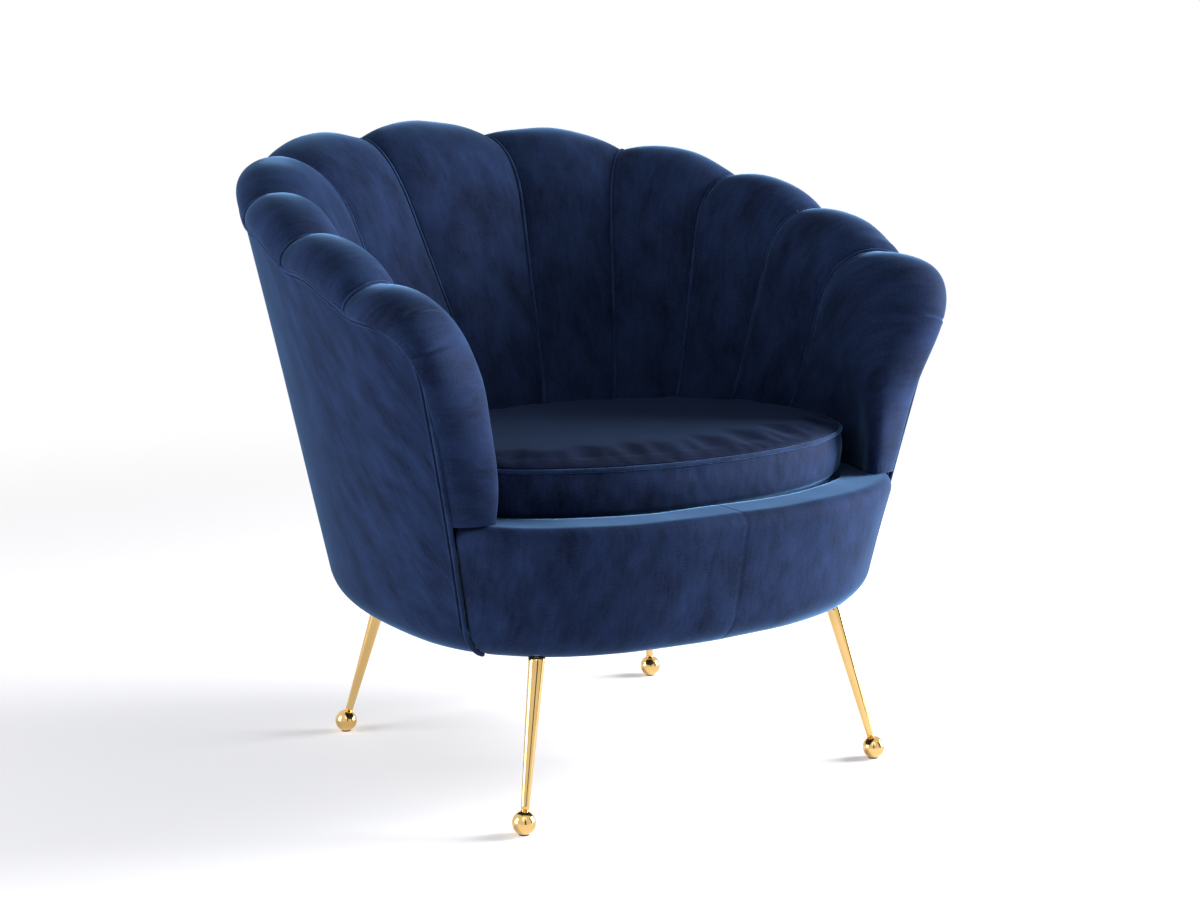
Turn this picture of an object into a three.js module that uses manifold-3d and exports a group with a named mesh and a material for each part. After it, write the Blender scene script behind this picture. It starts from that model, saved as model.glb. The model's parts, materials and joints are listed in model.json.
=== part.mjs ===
// Scallop back chair: a tub armchair with eleven stuffed channels, a loose seat cushion
// and four splayed brass legs on ball feet. Millimetres, +Z up, the front faces -Y.

import * as THREE from 'three';
import { mergeVertices } from 'three/addons/utils/BufferGeometryUtils.js';
import Module from 'manifold-3d';

const wasm = await Module();
wasm.setup();

const degree = Math.PI / 180;
const probeAngle = Math.PI / 1800;

// Outer shell: a flaring plan curve, stated at the underside and at the crest level.
const undersideLevel = 200;
const crestLevel = 780;
const baseHalfWidth = 334;
const crestHalfWidth = 471;
const sideBow = -7.5;
const baseBackReach = 361;
const crestBackReach = 618;
const backBow = 15;
const baseFrontReach = 254;
const crestFrontReach = 307;
const baseCentreY = -42;
const crestCentreY = -102;
const baseBackExponent = 2.5;
const crestBackExponent = 2.18;
const frontExponent = 2.5;
const baseFrontAngle = 117.6;
const crestFrontAngle = 110.6;

// Rounded lower edge of the base.
const edgeHeight = 45;
const edgeInset = 50;
const flangeInset = 62;
const flangeLevel = 203;
const boardInset = 20;
const notchLip = 8;

// Rim of the shell: its height at the back, at the sides and where it would reach in front.
const rimBackLevel = 742;
const rimSideLevel = 631;
const rimFrontLevel = 390;
const rimWave = 10;
const armTopFall = 5;
const armTopAngle = 14;
const armTopEase = 1.5;
const cornerLength = 74;
const wallCornerLength = 158;

// Inner wall: the face that the channels are sewn to, at the seat and at the crest level.
const wallLevel = 430;
const wallBlend = 45;
const wallCentreY = -92;
const wallCrestCentreY = 63.7;
const wallSideSetIn = 37.2;
const wallCrestSideSetIn = 132.9;
const wallBackSetIn = 211.5;
const wallCrestBackSetIn = 135.3;
const wallFrontOvershoot = 11.2;
const wallCrestFrontOvershoot = 1.9;
const wallBackExponent = 2.2;
const wallFrontExponent = 2;
const wallDrop = 41.5;
const noseDrop = 69.7;
const noseDropAngle = 15.1;
const noseOverhang = 13.4;

// Channels: seam angles from the back centre to one arm, at the seat, at the top of the wall
// and at the rim, and the stuffing.
const seatSeamAngles = [5.5, 22.7, 38, 51.9, 69.9];
const wallSeamAngles = [13.8, 36.7, 58.9, 78.3, 94.8];
const rimSeamAngles = [9.5, 39.6, 62, 78.6, 92.3];
const noseFootAngle = 99;
const padDepth = 14;
const padBulge = 9;
const padCrestBulge = 16.6;
const padTopBulge = 14;
const padRimBulge = 3;
const noseBulge = 14.1;
const noseFootShare = 0.03;
const noseRiseShare = 0.53;
const noseFullShare = 0.32;
const noseFadeShare = 0.41;
const noseSpanShare = 0.73;
const rollRise = 146;
const rollSideRise = 117;
const rollOver = 71;
const rollSideOver = 32;
const noseTopReach = 26.4;
const noseFootReach = 26.3;
const rollLeanShare = 0.2;
const channelSections = 6;
const noseSections = 12;
const wallRowShares = [0, 0.1, 0.2, 0.32, 0.46, 0.64, 0.82, 1];
const rollRows = 8;
const crownExponent = 2.4;
const rowProbeShare = 0.02;
const insideShare = 0.05;

// Piping.
const seamWeltRadius = 2.7;
const rimWeltRadius = 3;
const cushionWeltRadius = 2.8;
const weltProud = 1;
const weltSides = 6;
const rimWeltSteps = 96;

// Covers, boards and clearances.
const gap = 0.3;
const seatGap = 0.8;
const probe = 0.8;
const shellGap = 1.2;
const panelGap = 2;
const railGap = 3.6;
const clothSetback = 3;
const deckSetback = 1;
const weltGap = 1.1;
const coverThickness = 4;
const railPadding = 29;
const railTopLevel = 373.5;
const railLip = 20;
const railShelf = 66;
const boardThickness = 18;
const baseBoardLevel = 212;
const baseBoardWidth = 84;
const seatRingLevel = 320;
const seatRingLap = 40;
const seatOpeningSetIn = 63;
const plyThickness = 8;
const topRailDrop = 8;
const postSetback = 84;
const postPanelSetback = 34;
const postDepth = 42;
const ribThickness = 18;
const ribWidth = 60;
const dustClothThickness = 1.5;
const deckTopLevel = 370;
const springWire = 3.6;
const springSwing = 24;
const springSpacing = 112;
const springHalfWaves = 9;
const springCount = 4;
const springFrontGap = 2.5;
const springBackLap = 12.7;
const springSteps = 27;
const springSides = 4;

// Seat cushion.
const cushionCentreY = -86;
const cushionSideGap = 16;
const cushionBackGap = 20;
const cushionFrontSetIn = 35.5;
const cushionBackExponent = 2.2;
const cushionFrontExponent = 2.05;
const cushionWeltLevel = 429;
const cushionCrown = 17;
const crownReach = 26;
const cushionSideBulge = 3;
const cushionCorner = 13;
const cushionLift = 0.4;
const cushionSections = 44;

// Legs and feet.
const frontLegAngle = 135.516;
const frontLegInset = 29.6;
const backLegAngle = 44.574;
const backLegInset = 51.7;
const frontLeanX = 0.227;
const frontLeanY = 0.205;
const backLeanX = 0.216;
const backLeanY = 0.205;
const legTopRadius = 10.5;
const legFootRadius = 5;
const ballRadius = 14.7;
const ballFlat = 1.05;
const glideRadius = 6.5;
const glideHeight = 1.6;
const legPlateRadius = 13;
const legPlateThickness = 3;
const studRadius = 4;
const boreGap = 0.4;
const studReach = 22;
const studTail = 6;

// Sizes of the shell at a height, and what follows from them.
const mix = (low, high, share) => low + (high - low) * share;
const shellShare = (z) => (z - undersideLevel) / (crestLevel - undersideLevel);
const bowShare = (z) => 4 * shellShare(z) * (1 - shellShare(z));
const shellHalfWidth = (z) => mix(baseHalfWidth, crestHalfWidth, shellShare(z)) + sideBow * bowShare(z);
const shellBackReach = (z) => mix(baseBackReach, crestBackReach, shellShare(z)) + backBow * bowShare(z);
const shellFrontReach = (z) => mix(baseFrontReach, crestFrontReach, shellShare(z));
const shellCentreY = (z) => mix(baseCentreY, crestCentreY, shellShare(z));
const shellBackY = (z) => shellCentreY(z) + shellBackReach(z);
const shellFrontY = (z) => shellCentreY(z) - shellFrontReach(z);
const seatRingTop = seatRingLevel + boardThickness;
const wallHalfWidth = shellHalfWidth(seatRingTop) - wallSideSetIn;
const wallCrestHalfWidth = crestHalfWidth - wallCrestSideSetIn;
const wallBackReach = shellBackY(wallLevel) - wallBackSetIn - wallCentreY;
const wallCrestBackReach = shellBackY(crestLevel) - wallCrestBackSetIn - wallCrestCentreY;
const wallFrontReach = wallCentreY - shellFrontY(wallLevel) + wallFrontOvershoot;
const wallCrestFrontReach = wallCrestCentreY - shellFrontY(crestLevel) + wallCrestFrontOvershoot;
const baseFrontY = shellFrontY(undersideLevel);
const cushionHalfWidth = wallHalfWidth - cushionSideGap;
const cushionBackReach = wallCentreY + wallBackReach - cushionBackGap - cushionCentreY;
const cushionFrontReach = cushionCentreY - baseFrontY - cushionFrontSetIn;

// Finishes.
const velvet = { color: 0x16264d, roughness: 0.75, metalness: 0 };
const piping = { color: 0x1a2c58, roughness: 0.7, metalness: 0 };
const brass = { color: 0xd9ae55, roughness: 0.18, metalness: 1 };
const steel = { color: 0x8d9096, roughness: 0.4, metalness: 1 };
const timber = { color: 0xc79f6b, roughness: 0.7, metalness: 0 };
const cloth = { color: 0x1b1c20, roughness: 0.95, metalness: 0 };
const nylon = { color: 0x202022, roughness: 0.6, metalness: 0 };

const clamp01 = (value) => Math.min(1, Math.max(0, value));
const smooth = (value) => clamp01(value) ** 2 * (3 - 2 * clamp01(value));
const power = (value, exponent) => Math.sign(value) * Math.abs(value) ** (2 / exponent);

const chair = new THREE.Group();
chair.name = 'scallop_back_chair';
const assembly = new THREE.Group();
chair.add(assembly);

function place(name, geometry, finish, group = assembly) {
  const mesh = new THREE.Mesh(geometry, new THREE.MeshStandardMaterial(finish));
  mesh.name = name;
  group.add(mesh);
  return mesh;
}

// Reach of a plan curve toward the back or the front, at a distance from the middle plane.
function reachAt(x, halfWidth, reach, exponent) {
  return reach * (1 - (Math.abs(x) / halfWidth) ** exponent) ** (1 / exponent);
}

// Closed plan curve: a superellipse whose back and front halves differ.
function planPoint(angle, halfWidth, backReach, frontReach, centreY, backExponent, foreExponent, z) {
  const sine = Math.sin(angle);
  const cosine = Math.cos(angle);
  const exponent = cosine > 0 ? backExponent : foreExponent;
  const reach = cosine > 0 ? backReach : frontReach;
  return new THREE.Vector3(
    halfWidth * power(sine, exponent),
    centreY + reach * power(cosine, exponent),
    z,
  );
}

// How far the lower edge is drawn in at a height.
function edgeDrawIn(z) {
  const share = clamp01((undersideLevel + edgeHeight - z) / edgeHeight);
  return edgeInset * (1 - Math.sqrt(1 - share * share));
}

// A point of the outer shell, or of the curve that lies a given inset inside it.
function shellPoint(angle, z, inset = 0, rounded = true) {
  const drawIn = inset + (rounded ? edgeDrawIn(z) : 0);
  return planPoint(
    angle,
    shellHalfWidth(z) - drawIn,
    shellBackReach(z) - drawIn,
    shellFrontReach(z) - drawIn,
    shellCentreY(z),
    mix(baseBackExponent, crestBackExponent, shellShare(z)),
    frontExponent,
    z,
  );
}

// The inner wall stands upright below the seat and rakes back above it.
function wallSection(z) {
  const rise = z - wallLevel;
  const eased = rise <= -wallBlend ? 0
    : rise >= wallBlend ? rise
      : (rise + wallBlend) ** 2 / (4 * wallBlend);
  const share = eased / (crestLevel - wallLevel);
  return {
    halfWidth: mix(wallHalfWidth, wallCrestHalfWidth, share),
    backReach: mix(wallBackReach, wallCrestBackReach, share),
    frontReach: mix(wallFrontReach, wallCrestFrontReach, share),
    centreY: mix(wallCentreY, wallCrestCentreY, share),
  };
}

function wallPoint(angle, z) {
  const s = wallSection(z);
  return planPoint(
    angle, s.halfWidth, s.backReach, s.frontReach, s.centreY,
    wallBackExponent, wallFrontExponent, z,
  );
}

// Outward normal of a surface given by a function of angle and height.
function surfaceNormal(surface, angle, z) {
  const turn = probeAngle;
  const rise = probe;
  const along = surface(angle + turn, z).sub(surface(angle - turn, z));
  const up = surface(angle, z + rise).sub(surface(angle, z - rise));
  return up.cross(along).normalize();
}

function wallOffset(angle, z, distance) {
  return wallPoint(angle, z).addScaledVector(surfaceNormal(wallPoint, angle, z), distance);
}

// A point behind the wall at a distance from it, and at the height that is asked for.
function behindWall(angle, z, distance) {
  const drop = z - wallOffset(angle, z, distance).z;
  return wallOffset(angle, z + drop, distance).setZ(z);
}

// Angle of the shell's front edge, and an angle moved along the shell by a distance.
function frontAngle(z) {
  return mix(baseFrontAngle, crestFrontAngle, shellShare(z)) * degree;
}

function moveAlong(surface, angle, z, distance) {
  const turn = probeAngle;
  const speed = surface(angle + turn, z).distanceTo(surface(angle - turn, z)) / (2 * turn);
  return angle + distance / speed;
}

// Height of the rim before its scallops. Past the last seam it runs on almost level.
function rimLevel(angle) {
  const mean = (rimBackLevel + rimFrontLevel) / 4 + rimSideLevel / 2;
  const slope = (rimBackLevel - rimFrontLevel) / 2;
  const bend = (rimBackLevel + rimFrontLevel) / 4 - rimSideLevel / 2;
  const lastAngle = rimSeamAngles.at(-1) * degree;
  const turn = Math.min(Math.abs(angle), lastAngle);
  const past = Math.abs(angle) - turn;
  const ease = armTopEase * degree;
  const steep = slope * Math.sin(turn) + 2 * bend * Math.sin(2 * turn);
  const armFall = steep * ease * (1 - Math.exp(-past / ease)) + armTopFall * past / (armTopAngle * degree);
  return mean + slope * Math.cos(turn) + bend * Math.cos(2 * turn) - armFall;
}

// Angle at which the inner wall turns into the arm front, which hangs over the shell's edge.
function wallFrontAngle(z) {
  const edgeY = shellPoint(frontAngle(z), z, 0, false).y - noseOverhang;
  const s = wallSection(z);
  const share = clamp01((s.centreY - edgeY) / s.frontReach);
  return Math.PI - Math.acos(share ** (wallFrontExponent / 2));
}

// An edge runs from the back centre over the top, round a corner and down the arm front.
// It is kept as angle and height pairs with their run along the surface.
function traceEdge(surface, levelAt, frontAt, footLevel, corner) {
  let cornerAngle = Math.PI / 2;
  for (let step = 0; step < 60; step += 1) {
    cornerAngle = mix(cornerAngle, frontAt(levelAt(cornerAngle)), 0.5);
  }
  const cornerLevel = levelAt(cornerAngle);
  const startAngle = moveAlong(surface, cornerAngle, cornerLevel, -corner);
  const endLevel = cornerLevel - corner;
  const start = [startAngle, levelAt(startAngle)];
  const end = [frontAt(endLevel), endLevel];
  const pairs = [];
  const topSteps = 90;
  for (let step = 0; step < topSteps; step += 1) {
    const angle = startAngle * step / topSteps;
    pairs.push([angle, levelAt(angle)]);
  }
  const cornerSteps = 24;
  for (let step = 0; step < cornerSteps; step += 1) {
    const t = step / cornerSteps;
    const blend = (index) => (1 - t) ** 2 * start[index]
      + 2 * t * (1 - t) * [cornerAngle, cornerLevel][index] + t * t * end[index];
    pairs.push([blend(0), blend(1)]);
  }
  const frontSteps = 40;
  for (let step = 0; step <= frontSteps; step += 1) {
    const z = mix(endLevel, footLevel, step / frontSteps);
    pairs.push([frontAt(z), z]);
  }
  let run = 0;
  let last = surface(...pairs[0]);
  const runs = pairs.map((pair) => {
    const point = surface(...pair);
    run += point.distanceTo(last);
    last = point;
    return run;
  });
  const at = (distance) => {
    const wanted = Math.min(run, Math.max(0, distance));
    let index = runs.findIndex((value) => value >= wanted);
    index = Math.max(1, index);
    const share = (wanted - runs[index - 1]) / (runs[index] - runs[index - 1]);
    return pairs[index].map((value, part) => mix(pairs[index - 1][part], value, share));
  };
  const runTo = (angle) => {
    const index = Math.max(1, pairs.findIndex((pair) => pair[0] >= angle));
    const share = (angle - pairs[index - 1][0]) / (pairs[index][0] - pairs[index - 1][0]);
    return mix(runs[index - 1], runs[index], share);
  };
  const runToLevel = (level) => {
    const index = pairs.findIndex((pair, place) => place > topSteps && pair[1] <= level);
    const share = (level - pairs[index - 1][1]) / (pairs[index][1] - pairs[index - 1][1]);
    return mix(runs[index - 1], runs[index], share);
  };
  return { at, runTo, runToLevel, length: run, cornerEnd: endLevel };
}

// Seams split each half of the chair: place 0 is the back centre, 0.5 the first seam, then one
// seam per whole step, and 5.5 the foot of the arm front.
const lastSeam = rimSeamAngles.length - 0.5;
const armEnd = lastSeam + 1;
const seamStops = (angles) => [0, ...angles.map((angle) => angle * degree)];
const seamSpans = [0, ...rimSeamAngles.map((_, index) => index + 0.5)];

// Reads a row of values at a point of another row that rises with it.
function lookUp(wanted, from, to) {
  const found = from.findIndex((value) => value >= wanted);
  const index = found < 0 ? from.length - 1 : Math.max(1, found);
  const share = clamp01((wanted - from[index - 1]) / (from[index] - from[index - 1]));
  return mix(to[index - 1], to[index], share);
}

const seamMix = (angles, place) => lookUp(place, seamSpans, seamStops(angles));
const seamPlace = (angle) => lookUp(angle, seamStops(rimSeamAngles), seamSpans);
const scallopRise = (place) => rimWave * Math.sin(Math.PI * (place + 0.5)) ** 2;

// Top of the wall: a drop below the rim at the same place, deeper at the arm front.
function wallTopLevel(angle) {
  const past = Math.max(0, angle - wallSeamAngles.at(-1) * degree);
  const rimAngle = lookUp(angle, seamStops(wallSeamAngles), seamStops(rimSeamAngles)) + past;
  return rimLevel(rimAngle) - mix(wallDrop, noseDrop, clamp01(past / (noseDropAngle * degree)));
}

const padFootLevel = railTopLevel + gap;
const rimFoot = undersideLevel + rimWeltRadius;
const rimEdge = traceEdge(
  (angle, z) => shellPoint(angle, z), rimLevel, frontAngle, rimFoot, cornerLength,
);
const wallEdge = traceEdge(
  wallPoint, wallTopLevel, wallFrontAngle, padFootLevel, wallCornerLength,
);

const noseRimStart = rimEdge.runTo(rimSeamAngles.at(-1) * degree);
const noseRimEnd = rimEdge.runToLevel(padFootLevel);
const noseWallStart = wallEdge.runTo(wallSeamAngles.at(-1) * degree);

// The three anchors of a line up a channel: its foot, the top of the wall, and the rim.
function anchors(place) {
  if (place <= lastSeam) {
    const rimAngle = seamMix(rimSeamAngles, place);
    return {
      foot: [seamMix(seatSeamAngles, place), padFootLevel],
      top: [seamMix(wallSeamAngles, place), rimLevel(rimAngle) - wallDrop],
      rim: [rimAngle, rimLevel(rimAngle) + scallopRise(place)],
    };
  }
  const share = place - lastSeam;
  return {
    foot: [mix(seatSeamAngles.at(-1), noseFootAngle, share) * degree, padFootLevel],
    top: wallEdge.at(mix(noseWallStart, wallEdge.length, share)),
    rim: rimEdge.at(mix(noseRimStart, noseRimEnd, share)),
  };
}

// Angle and height on the wall, a share of the way from the foot of a line to its top.
const wallSpot = ({ foot, top }, share) => [mix(foot[0], top[0], share), mix(foot[1], top[1], share)];

// Base surface of the upholstery. Row 0 to 1 climbs the wall, 1 to 2 rolls over to the rim.
function upholstery(place, row) {
  const side = place < 0 ? -1 : 1;
  const line = anchors(Math.abs(place));
  const onWall = (share) => wallPoint(...wallSpot(line, share));
  let point;
  if (row <= 1) {
    point = onWall(row);
  } else {
    const start = onWall(1);
    const end = shellPoint(...line.rim);
    const sideShare = 1 - (1 - clamp01(Math.abs(place) / lastSeam)) ** 2;
    const pastSeam = Math.abs(place) - lastSeam;
    const noseBlend = smooth(pastSeam / noseSpanShare);
    const noseReach = mix(noseTopReach, noseFootReach, noseBlend);
    const rise = mix(mix(rollRise, rollSideRise, sideShare), noseReach, noseBlend);
    const over = mix(mix(rollOver, rollSideOver, sideShare), noseReach, noseBlend);
    const along = onWall(1).sub(onWall(1 - rowProbeShare)).normalize();
    const outward = rimOutward(Math.abs(place), line.rim);
    const curve = new THREE.CubicBezierCurve3(
      start, start.clone().addScaledVector(along, rise),
      end.clone().addScaledVector(outward, over), end,
    );
    point = curve.getPoint(row - 1);
  }
  point.x *= side;
  return point;
}

// Direction in which the upholstery leaves the rim: away from the panel, leaning out a little.
function rimOutward(place, rim) {
  const step = rowProbeShare;
  const ahead = shellPoint(...anchors(Math.min(armEnd, place + step)).rim);
  const behind = shellPoint(...anchors(Math.max(0, place - step)).rim);
  if (place < step) behind.x = -ahead.x;
  const outNormal = surfaceNormal((a, z) => shellPoint(a, z), ...rim);
  const away = ahead.sub(behind).cross(outNormal).normalize();
  return away.addScaledVector(outNormal, rollLeanShare).normalize();
}

function upholsteryNormal(place, row) {
  if (row < 1) {
    const inward = surfaceNormal(wallPoint, ...wallSpot(anchors(Math.abs(place)), row)).negate();
    return place < 0 ? inward.setX(-inward.x) : inward;
  }
  const step = rowProbeShare / 2;
  const side = (shift) => upholstery(place + shift, row);
  const climb = (shift) => upholstery(place, Math.min(2, row + shift));
  return side(step).sub(side(-step)).cross(climb(step).sub(climb(-step))).normalize();
}

// Stuffing: how far a channel swells from the base surface at a place across it and a row.
function swell(across, row, nose) {
  const crown = 1 - Math.abs(2 * across - 1) ** crownExponent;
  const over = clamp01(row - 1);
  const peak = over * (1 - over) ** 2 / (4 / 27);
  const height = row <= 1 ? mix(padBulge, padTopBulge, row ** 2)
    : mix(mix(padTopBulge, padRimBulge, over), padCrestBulge, peak);
  if (!nose) return crown * height;
  const rise = 1 - (1 - clamp01(across / noseRiseShare)) ** crownExponent;
  const fullness = mix(1, noseFootShare, smooth((across - noseFullShare) / noseFadeShare));
  return rise * fullness * mix(noseBulge, height, clamp01(1 - row));
}

// A closed body between two grids of points that share their columns and rows.
function gridBody(front, back) {
  const columns = front.length;
  const rows = front[0].length;
  const positions = [];
  for (const grid of [front, back]) {
    for (const column of grid) {
      for (const p of column) positions.push(p.x, p.y, p.z);
    }
  }
  const frontAt = (i, j) => i * rows + j;
  const backAt = (i, j) => columns * rows + i * rows + j;
  const index = [];
  const quad = (a, b, c, d) => index.push(a, b, c, a, c, d);
  for (let i = 0; i < columns - 1; i += 1) {
    for (let j = 0; j < rows - 1; j += 1) {
      quad(frontAt(i, j), frontAt(i + 1, j), frontAt(i + 1, j + 1), frontAt(i, j + 1));
      quad(backAt(i, j), backAt(i, j + 1), backAt(i + 1, j + 1), backAt(i + 1, j));
    }
    quad(frontAt(i, 0), backAt(i, 0), backAt(i + 1, 0), frontAt(i + 1, 0));
    quad(frontAt(i, rows - 1), frontAt(i + 1, rows - 1), backAt(i + 1, rows - 1), backAt(i, rows - 1));
  }
  for (let j = 0; j < rows - 1; j += 1) {
    quad(frontAt(0, j), frontAt(0, j + 1), backAt(0, j + 1), backAt(0, j));
    quad(
      frontAt(columns - 1, j), backAt(columns - 1, j),
      backAt(columns - 1, j + 1), frontAt(columns - 1, j + 1),
    );
  }
  const geometry = new THREE.BufferGeometry();
  geometry.setAttribute('position', new THREE.Float32BufferAttribute(positions, 3));
  geometry.setIndex(index);
  return geometry;
}

// A closed band of profiles, each a closed loop of points: ring-shaped or with two ends.
function bandBody(profiles, ringShaped) {
  const count = profiles[0].length;
  const positions = profiles.flat().flatMap((p) => [p.x, p.y, p.z]);
  const index = [];
  const spans = ringShaped ? profiles.length : profiles.length - 1;
  for (let i = 0; i < spans; i += 1) {
    const next = (i + 1) % profiles.length;
    for (let j = 0; j < count; j += 1) {
      const up = (j + 1) % count;
      const corners = [i * count + j, next * count + j, next * count + up, i * count + up];
      index.push(corners[0], corners[1], corners[2], corners[0], corners[2], corners[3]);
    }
  }
  if (!ringShaped) {
    const outline = profiles[0].map((p) => p.clone());
    const origin = outline[0];
    const normal = new THREE.Vector3();
    outline.forEach((p, j) => {
      const q = outline[(j + 1) % count];
      normal.add(p.clone().sub(origin).cross(q.clone().sub(origin)));
    });
    normal.normalize();
    const across = outline[1].clone().sub(origin).normalize();
    const other = normal.clone().cross(across);
    const flat = outline.map((p) => {
      const d = p.clone().sub(origin);
      return new THREE.Vector2(d.dot(across), d.dot(other));
    });
    const last = (profiles.length - 1) * count;
    for (const [a, b, c] of THREE.ShapeUtils.triangulateShape(flat, [])) {
      index.push(a, b, c);
      index.push(last + a, last + c, last + b);
    }
  }
  const geometry = new THREE.BufferGeometry();
  geometry.setAttribute('position', new THREE.Float32BufferAttribute(positions, 3));
  geometry.setIndex(index);
  return geometry;
}

// Turns a geometry inside out where its faces point in.
function facingOut(geometry) {
  const p = geometry.getAttribute('position');
  const index = geometry.getIndex();
  const [a, b, c] = [new THREE.Vector3(), new THREE.Vector3(), new THREE.Vector3()];
  let volume = 0;
  for (let i = 0; i < index.count; i += 3) {
    a.fromBufferAttribute(p, index.getX(i));
    b.fromBufferAttribute(p, index.getX(i + 1));
    c.fromBufferAttribute(p, index.getX(i + 2));
    volume += a.dot(b.cross(c));
  }
  if (volume < 0) {
    for (let i = 0; i < index.count; i += 3) {
      const first = index.getX(i);
      index.setX(i, index.getX(i + 1));
      index.setX(i + 1, first);
    }
  }
  return geometry;
}

function bareGeometry(geometry) {
  const bare = geometry.clone();
  bare.deleteAttribute('normal');
  bare.deleteAttribute('uv');
  return bare;
}

function toSolid(geometry) {
  const merged = mergeVertices(bareGeometry(geometry));
  return new wasm.Manifold(new wasm.Mesh({
    numProp: 3,
    vertProperties: new Float32Array(merged.getAttribute('position').array),
    triVerts: new Uint32Array(merged.getIndex().array),
  }));
}

function fromSolid(solid) {
  const mesh = solid.getMesh();
  const geometry = new THREE.BufferGeometry();
  geometry.setAttribute('position', new THREE.BufferAttribute(mesh.vertProperties, 3));
  geometry.setIndex(new THREE.BufferAttribute(mesh.triVerts, 1));
  return geometry;
}

const cut = (geometry, tools) => fromSolid(
  tools.reduce((solid, tool) => solid.subtract(toSolid(tool)), toSolid(geometry)),
);
const common = (one, two) => fromSolid(toSolid(one).intersect(toSolid(two)));

// A flat plate with an outline, from one height to another.
function plate(outline, low, high) {
  const shape = new THREE.Shape(outline.map((p) => new THREE.Vector2(p.x, p.y)));
  const geometry = new THREE.ExtrudeGeometry(shape, { depth: high - low, bevelEnabled: false });
  return geometry.translate(0, 0, low);
}

// A flat ring between two outlines that have the same number of points.
function ringPlate(outline, opening, low, high) {
  const columns = outline.map((point, index) => [
    point.clone().setZ(low),
    point.clone().setZ(high),
    opening[index].clone().setZ(high),
    opening[index].clone().setZ(low),
  ]);
  return facingOut(bandBody(columns, true));
}

function planOutline(pointAt, count) {
  return Array.from({ length: count }, (_, i) => pointAt(2 * Math.PI * i / count));
}

function circle(radius, count) {
  return Array.from({ length: count }, (_, i) => new THREE.Vector2(
    radius * Math.cos(2 * Math.PI * i / count),
    radius * Math.sin(2 * Math.PI * i / count),
  ));
}

// A curve whose points come from a function of 0 to 1.
class Route extends THREE.Curve {
  constructor(pointAt) {
    super();
    this.pointAt = pointAt;
  }

  getPoint(t, target = new THREE.Vector3()) {
    return target.copy(this.pointAt(t));
  }
}

function tube(route, radius, sides, steps) {
  const section = new THREE.Shape(circle(radius, sides));
  return new THREE.ExtrudeGeometry(section, { steps, bevelEnabled: false, extrudePath: route });
}

// Row at which the upholstery stops beside the piping of the rim.
function lastRow(place) {
  const speed = upholstery(place, 2).distanceTo(upholstery(place, 2 - rowProbeShare)) / rowProbeShare;
  return 2 - (rimWeltRadius + weltGap) / speed;
}

// Channels.
const channelRows = [...wallRowShares];
for (let step = 1; step <= rollRows; step += 1) channelRows.push(1 + step / rollRows);
const aboveRail = (point) => point.setZ(Math.max(point.z, padFootLevel));

function channelGrid(from, to, sections, nose) {
  const front = [];
  const back = [];
  for (let i = 0; i <= sections; i += 1) {
    front.push([]);
    back.push([]);
  }
  const edge = seamWeltRadius + weltGap;
  for (const wanted of channelRows) {
    for (let i = 0; i <= sections; i += 1) {
      const share = i / sections;
      const row = wanted === 2 ? lastRow(mix(from, to, share)) : wanted;
      const trimShare = (end, inner) => {
        const climb = upholstery(end, row).sub(upholstery(end, row - rowProbeShare)).normalize();
        const span = upholstery(inner, row).sub(upholstery(end, row)).projectOnPlane(climb);
        return edge / span.length() * Math.abs(inner - end) / Math.abs(to - from);
      };
      const lowTrim = nose === 'left' ? 0 : trimShare(from, mix(from, to, insideShare));
      const highTrim = nose === 'right' ? 0 : trimShare(to, mix(to, from, insideShare));
      const across = mix(lowTrim, 1 - highTrim, share);
      const place = mix(from, to, across);
      const normal = upholsteryNormal(i === 0 ? from : i === sections ? to : place, row);
      const point = upholstery(place, row);
      const noseAcross = nose === 'left' ? 1 - across : across;
      const rise = swell(noseAcross, row, Boolean(nose));
      front[i].push(aboveRail(point.clone().addScaledVector(normal, rise)));
      back[i].push(aboveRail(point.clone().addScaledVector(normal, -padDepth)));
    }
  }
  return [front, back];
}

const channelCount = 2 * rimSeamAngles.length + 1;
for (let index = 0; index < channelCount; index += 1) {
  const from = index - channelCount / 2;
  const nose = index === 0 ? 'left' : index === channelCount - 1 ? 'right' : '';
  const [front, back] = channelGrid(from, from + 1, nose ? noseSections : channelSections, nose);
  const name = `channel_${String(index + 1).padStart(2, '0')}`;
  place(name, facingOut(gridBody(front, back)), velvet);
}

// Piping in the seams between the channels.
for (let index = 0; index < channelCount - 1; index += 1) {
  const seam = index + 1 - channelCount / 2;
  const stop = lastRow(seam);
  const rings = channelRows.map((wanted) => {
    const row = Math.min(wanted, stop);
    const normal = upholsteryNormal(seam, row);
    const below = upholstery(seam, row - rowProbeShare / 2);
    const climb = upholstery(seam, row).sub(below).normalize();
    const across = climb.clone().cross(normal).normalize();
    const middle = upholstery(seam, row).addScaledVector(normal, weltProud);
    return circle(seamWeltRadius, weltSides).map((p) => aboveRail(
      middle.clone().addScaledVector(across, p.x).addScaledVector(normal, p.y),
    ));
  });
  const name = `channel_welt_${String(index + 1).padStart(2, '0')}`;
  place(name, facingOut(bandBody(rings, false)), piping);
}

// Piping along the whole rim and down both arm fronts.
function rimPlace(share) {
  const half = Math.abs(2 * share - 1);
  const distance = half * rimEdge.length;
  const [angle, z] = rimEdge.at(distance);
  const wave = distance < noseRimStart ? scallopRise(seamPlace(angle)) : 0;
  return { angle, z: z + wave, side: Math.sign(2 * share - 1) || 1 };
}

const rimRoute = new Route((t) => {
  const { angle, z, side } = rimPlace(t);
  const normal = surfaceNormal((a, level) => shellPoint(a, level), angle, z);
  const point = shellPoint(angle, z).addScaledVector(normal, weltProud);
  point.x *= side;
  return point;
});
place('rim_welt', tube(rimRoute, rimWeltRadius, weltSides, rimWeltSteps), piping);

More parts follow.
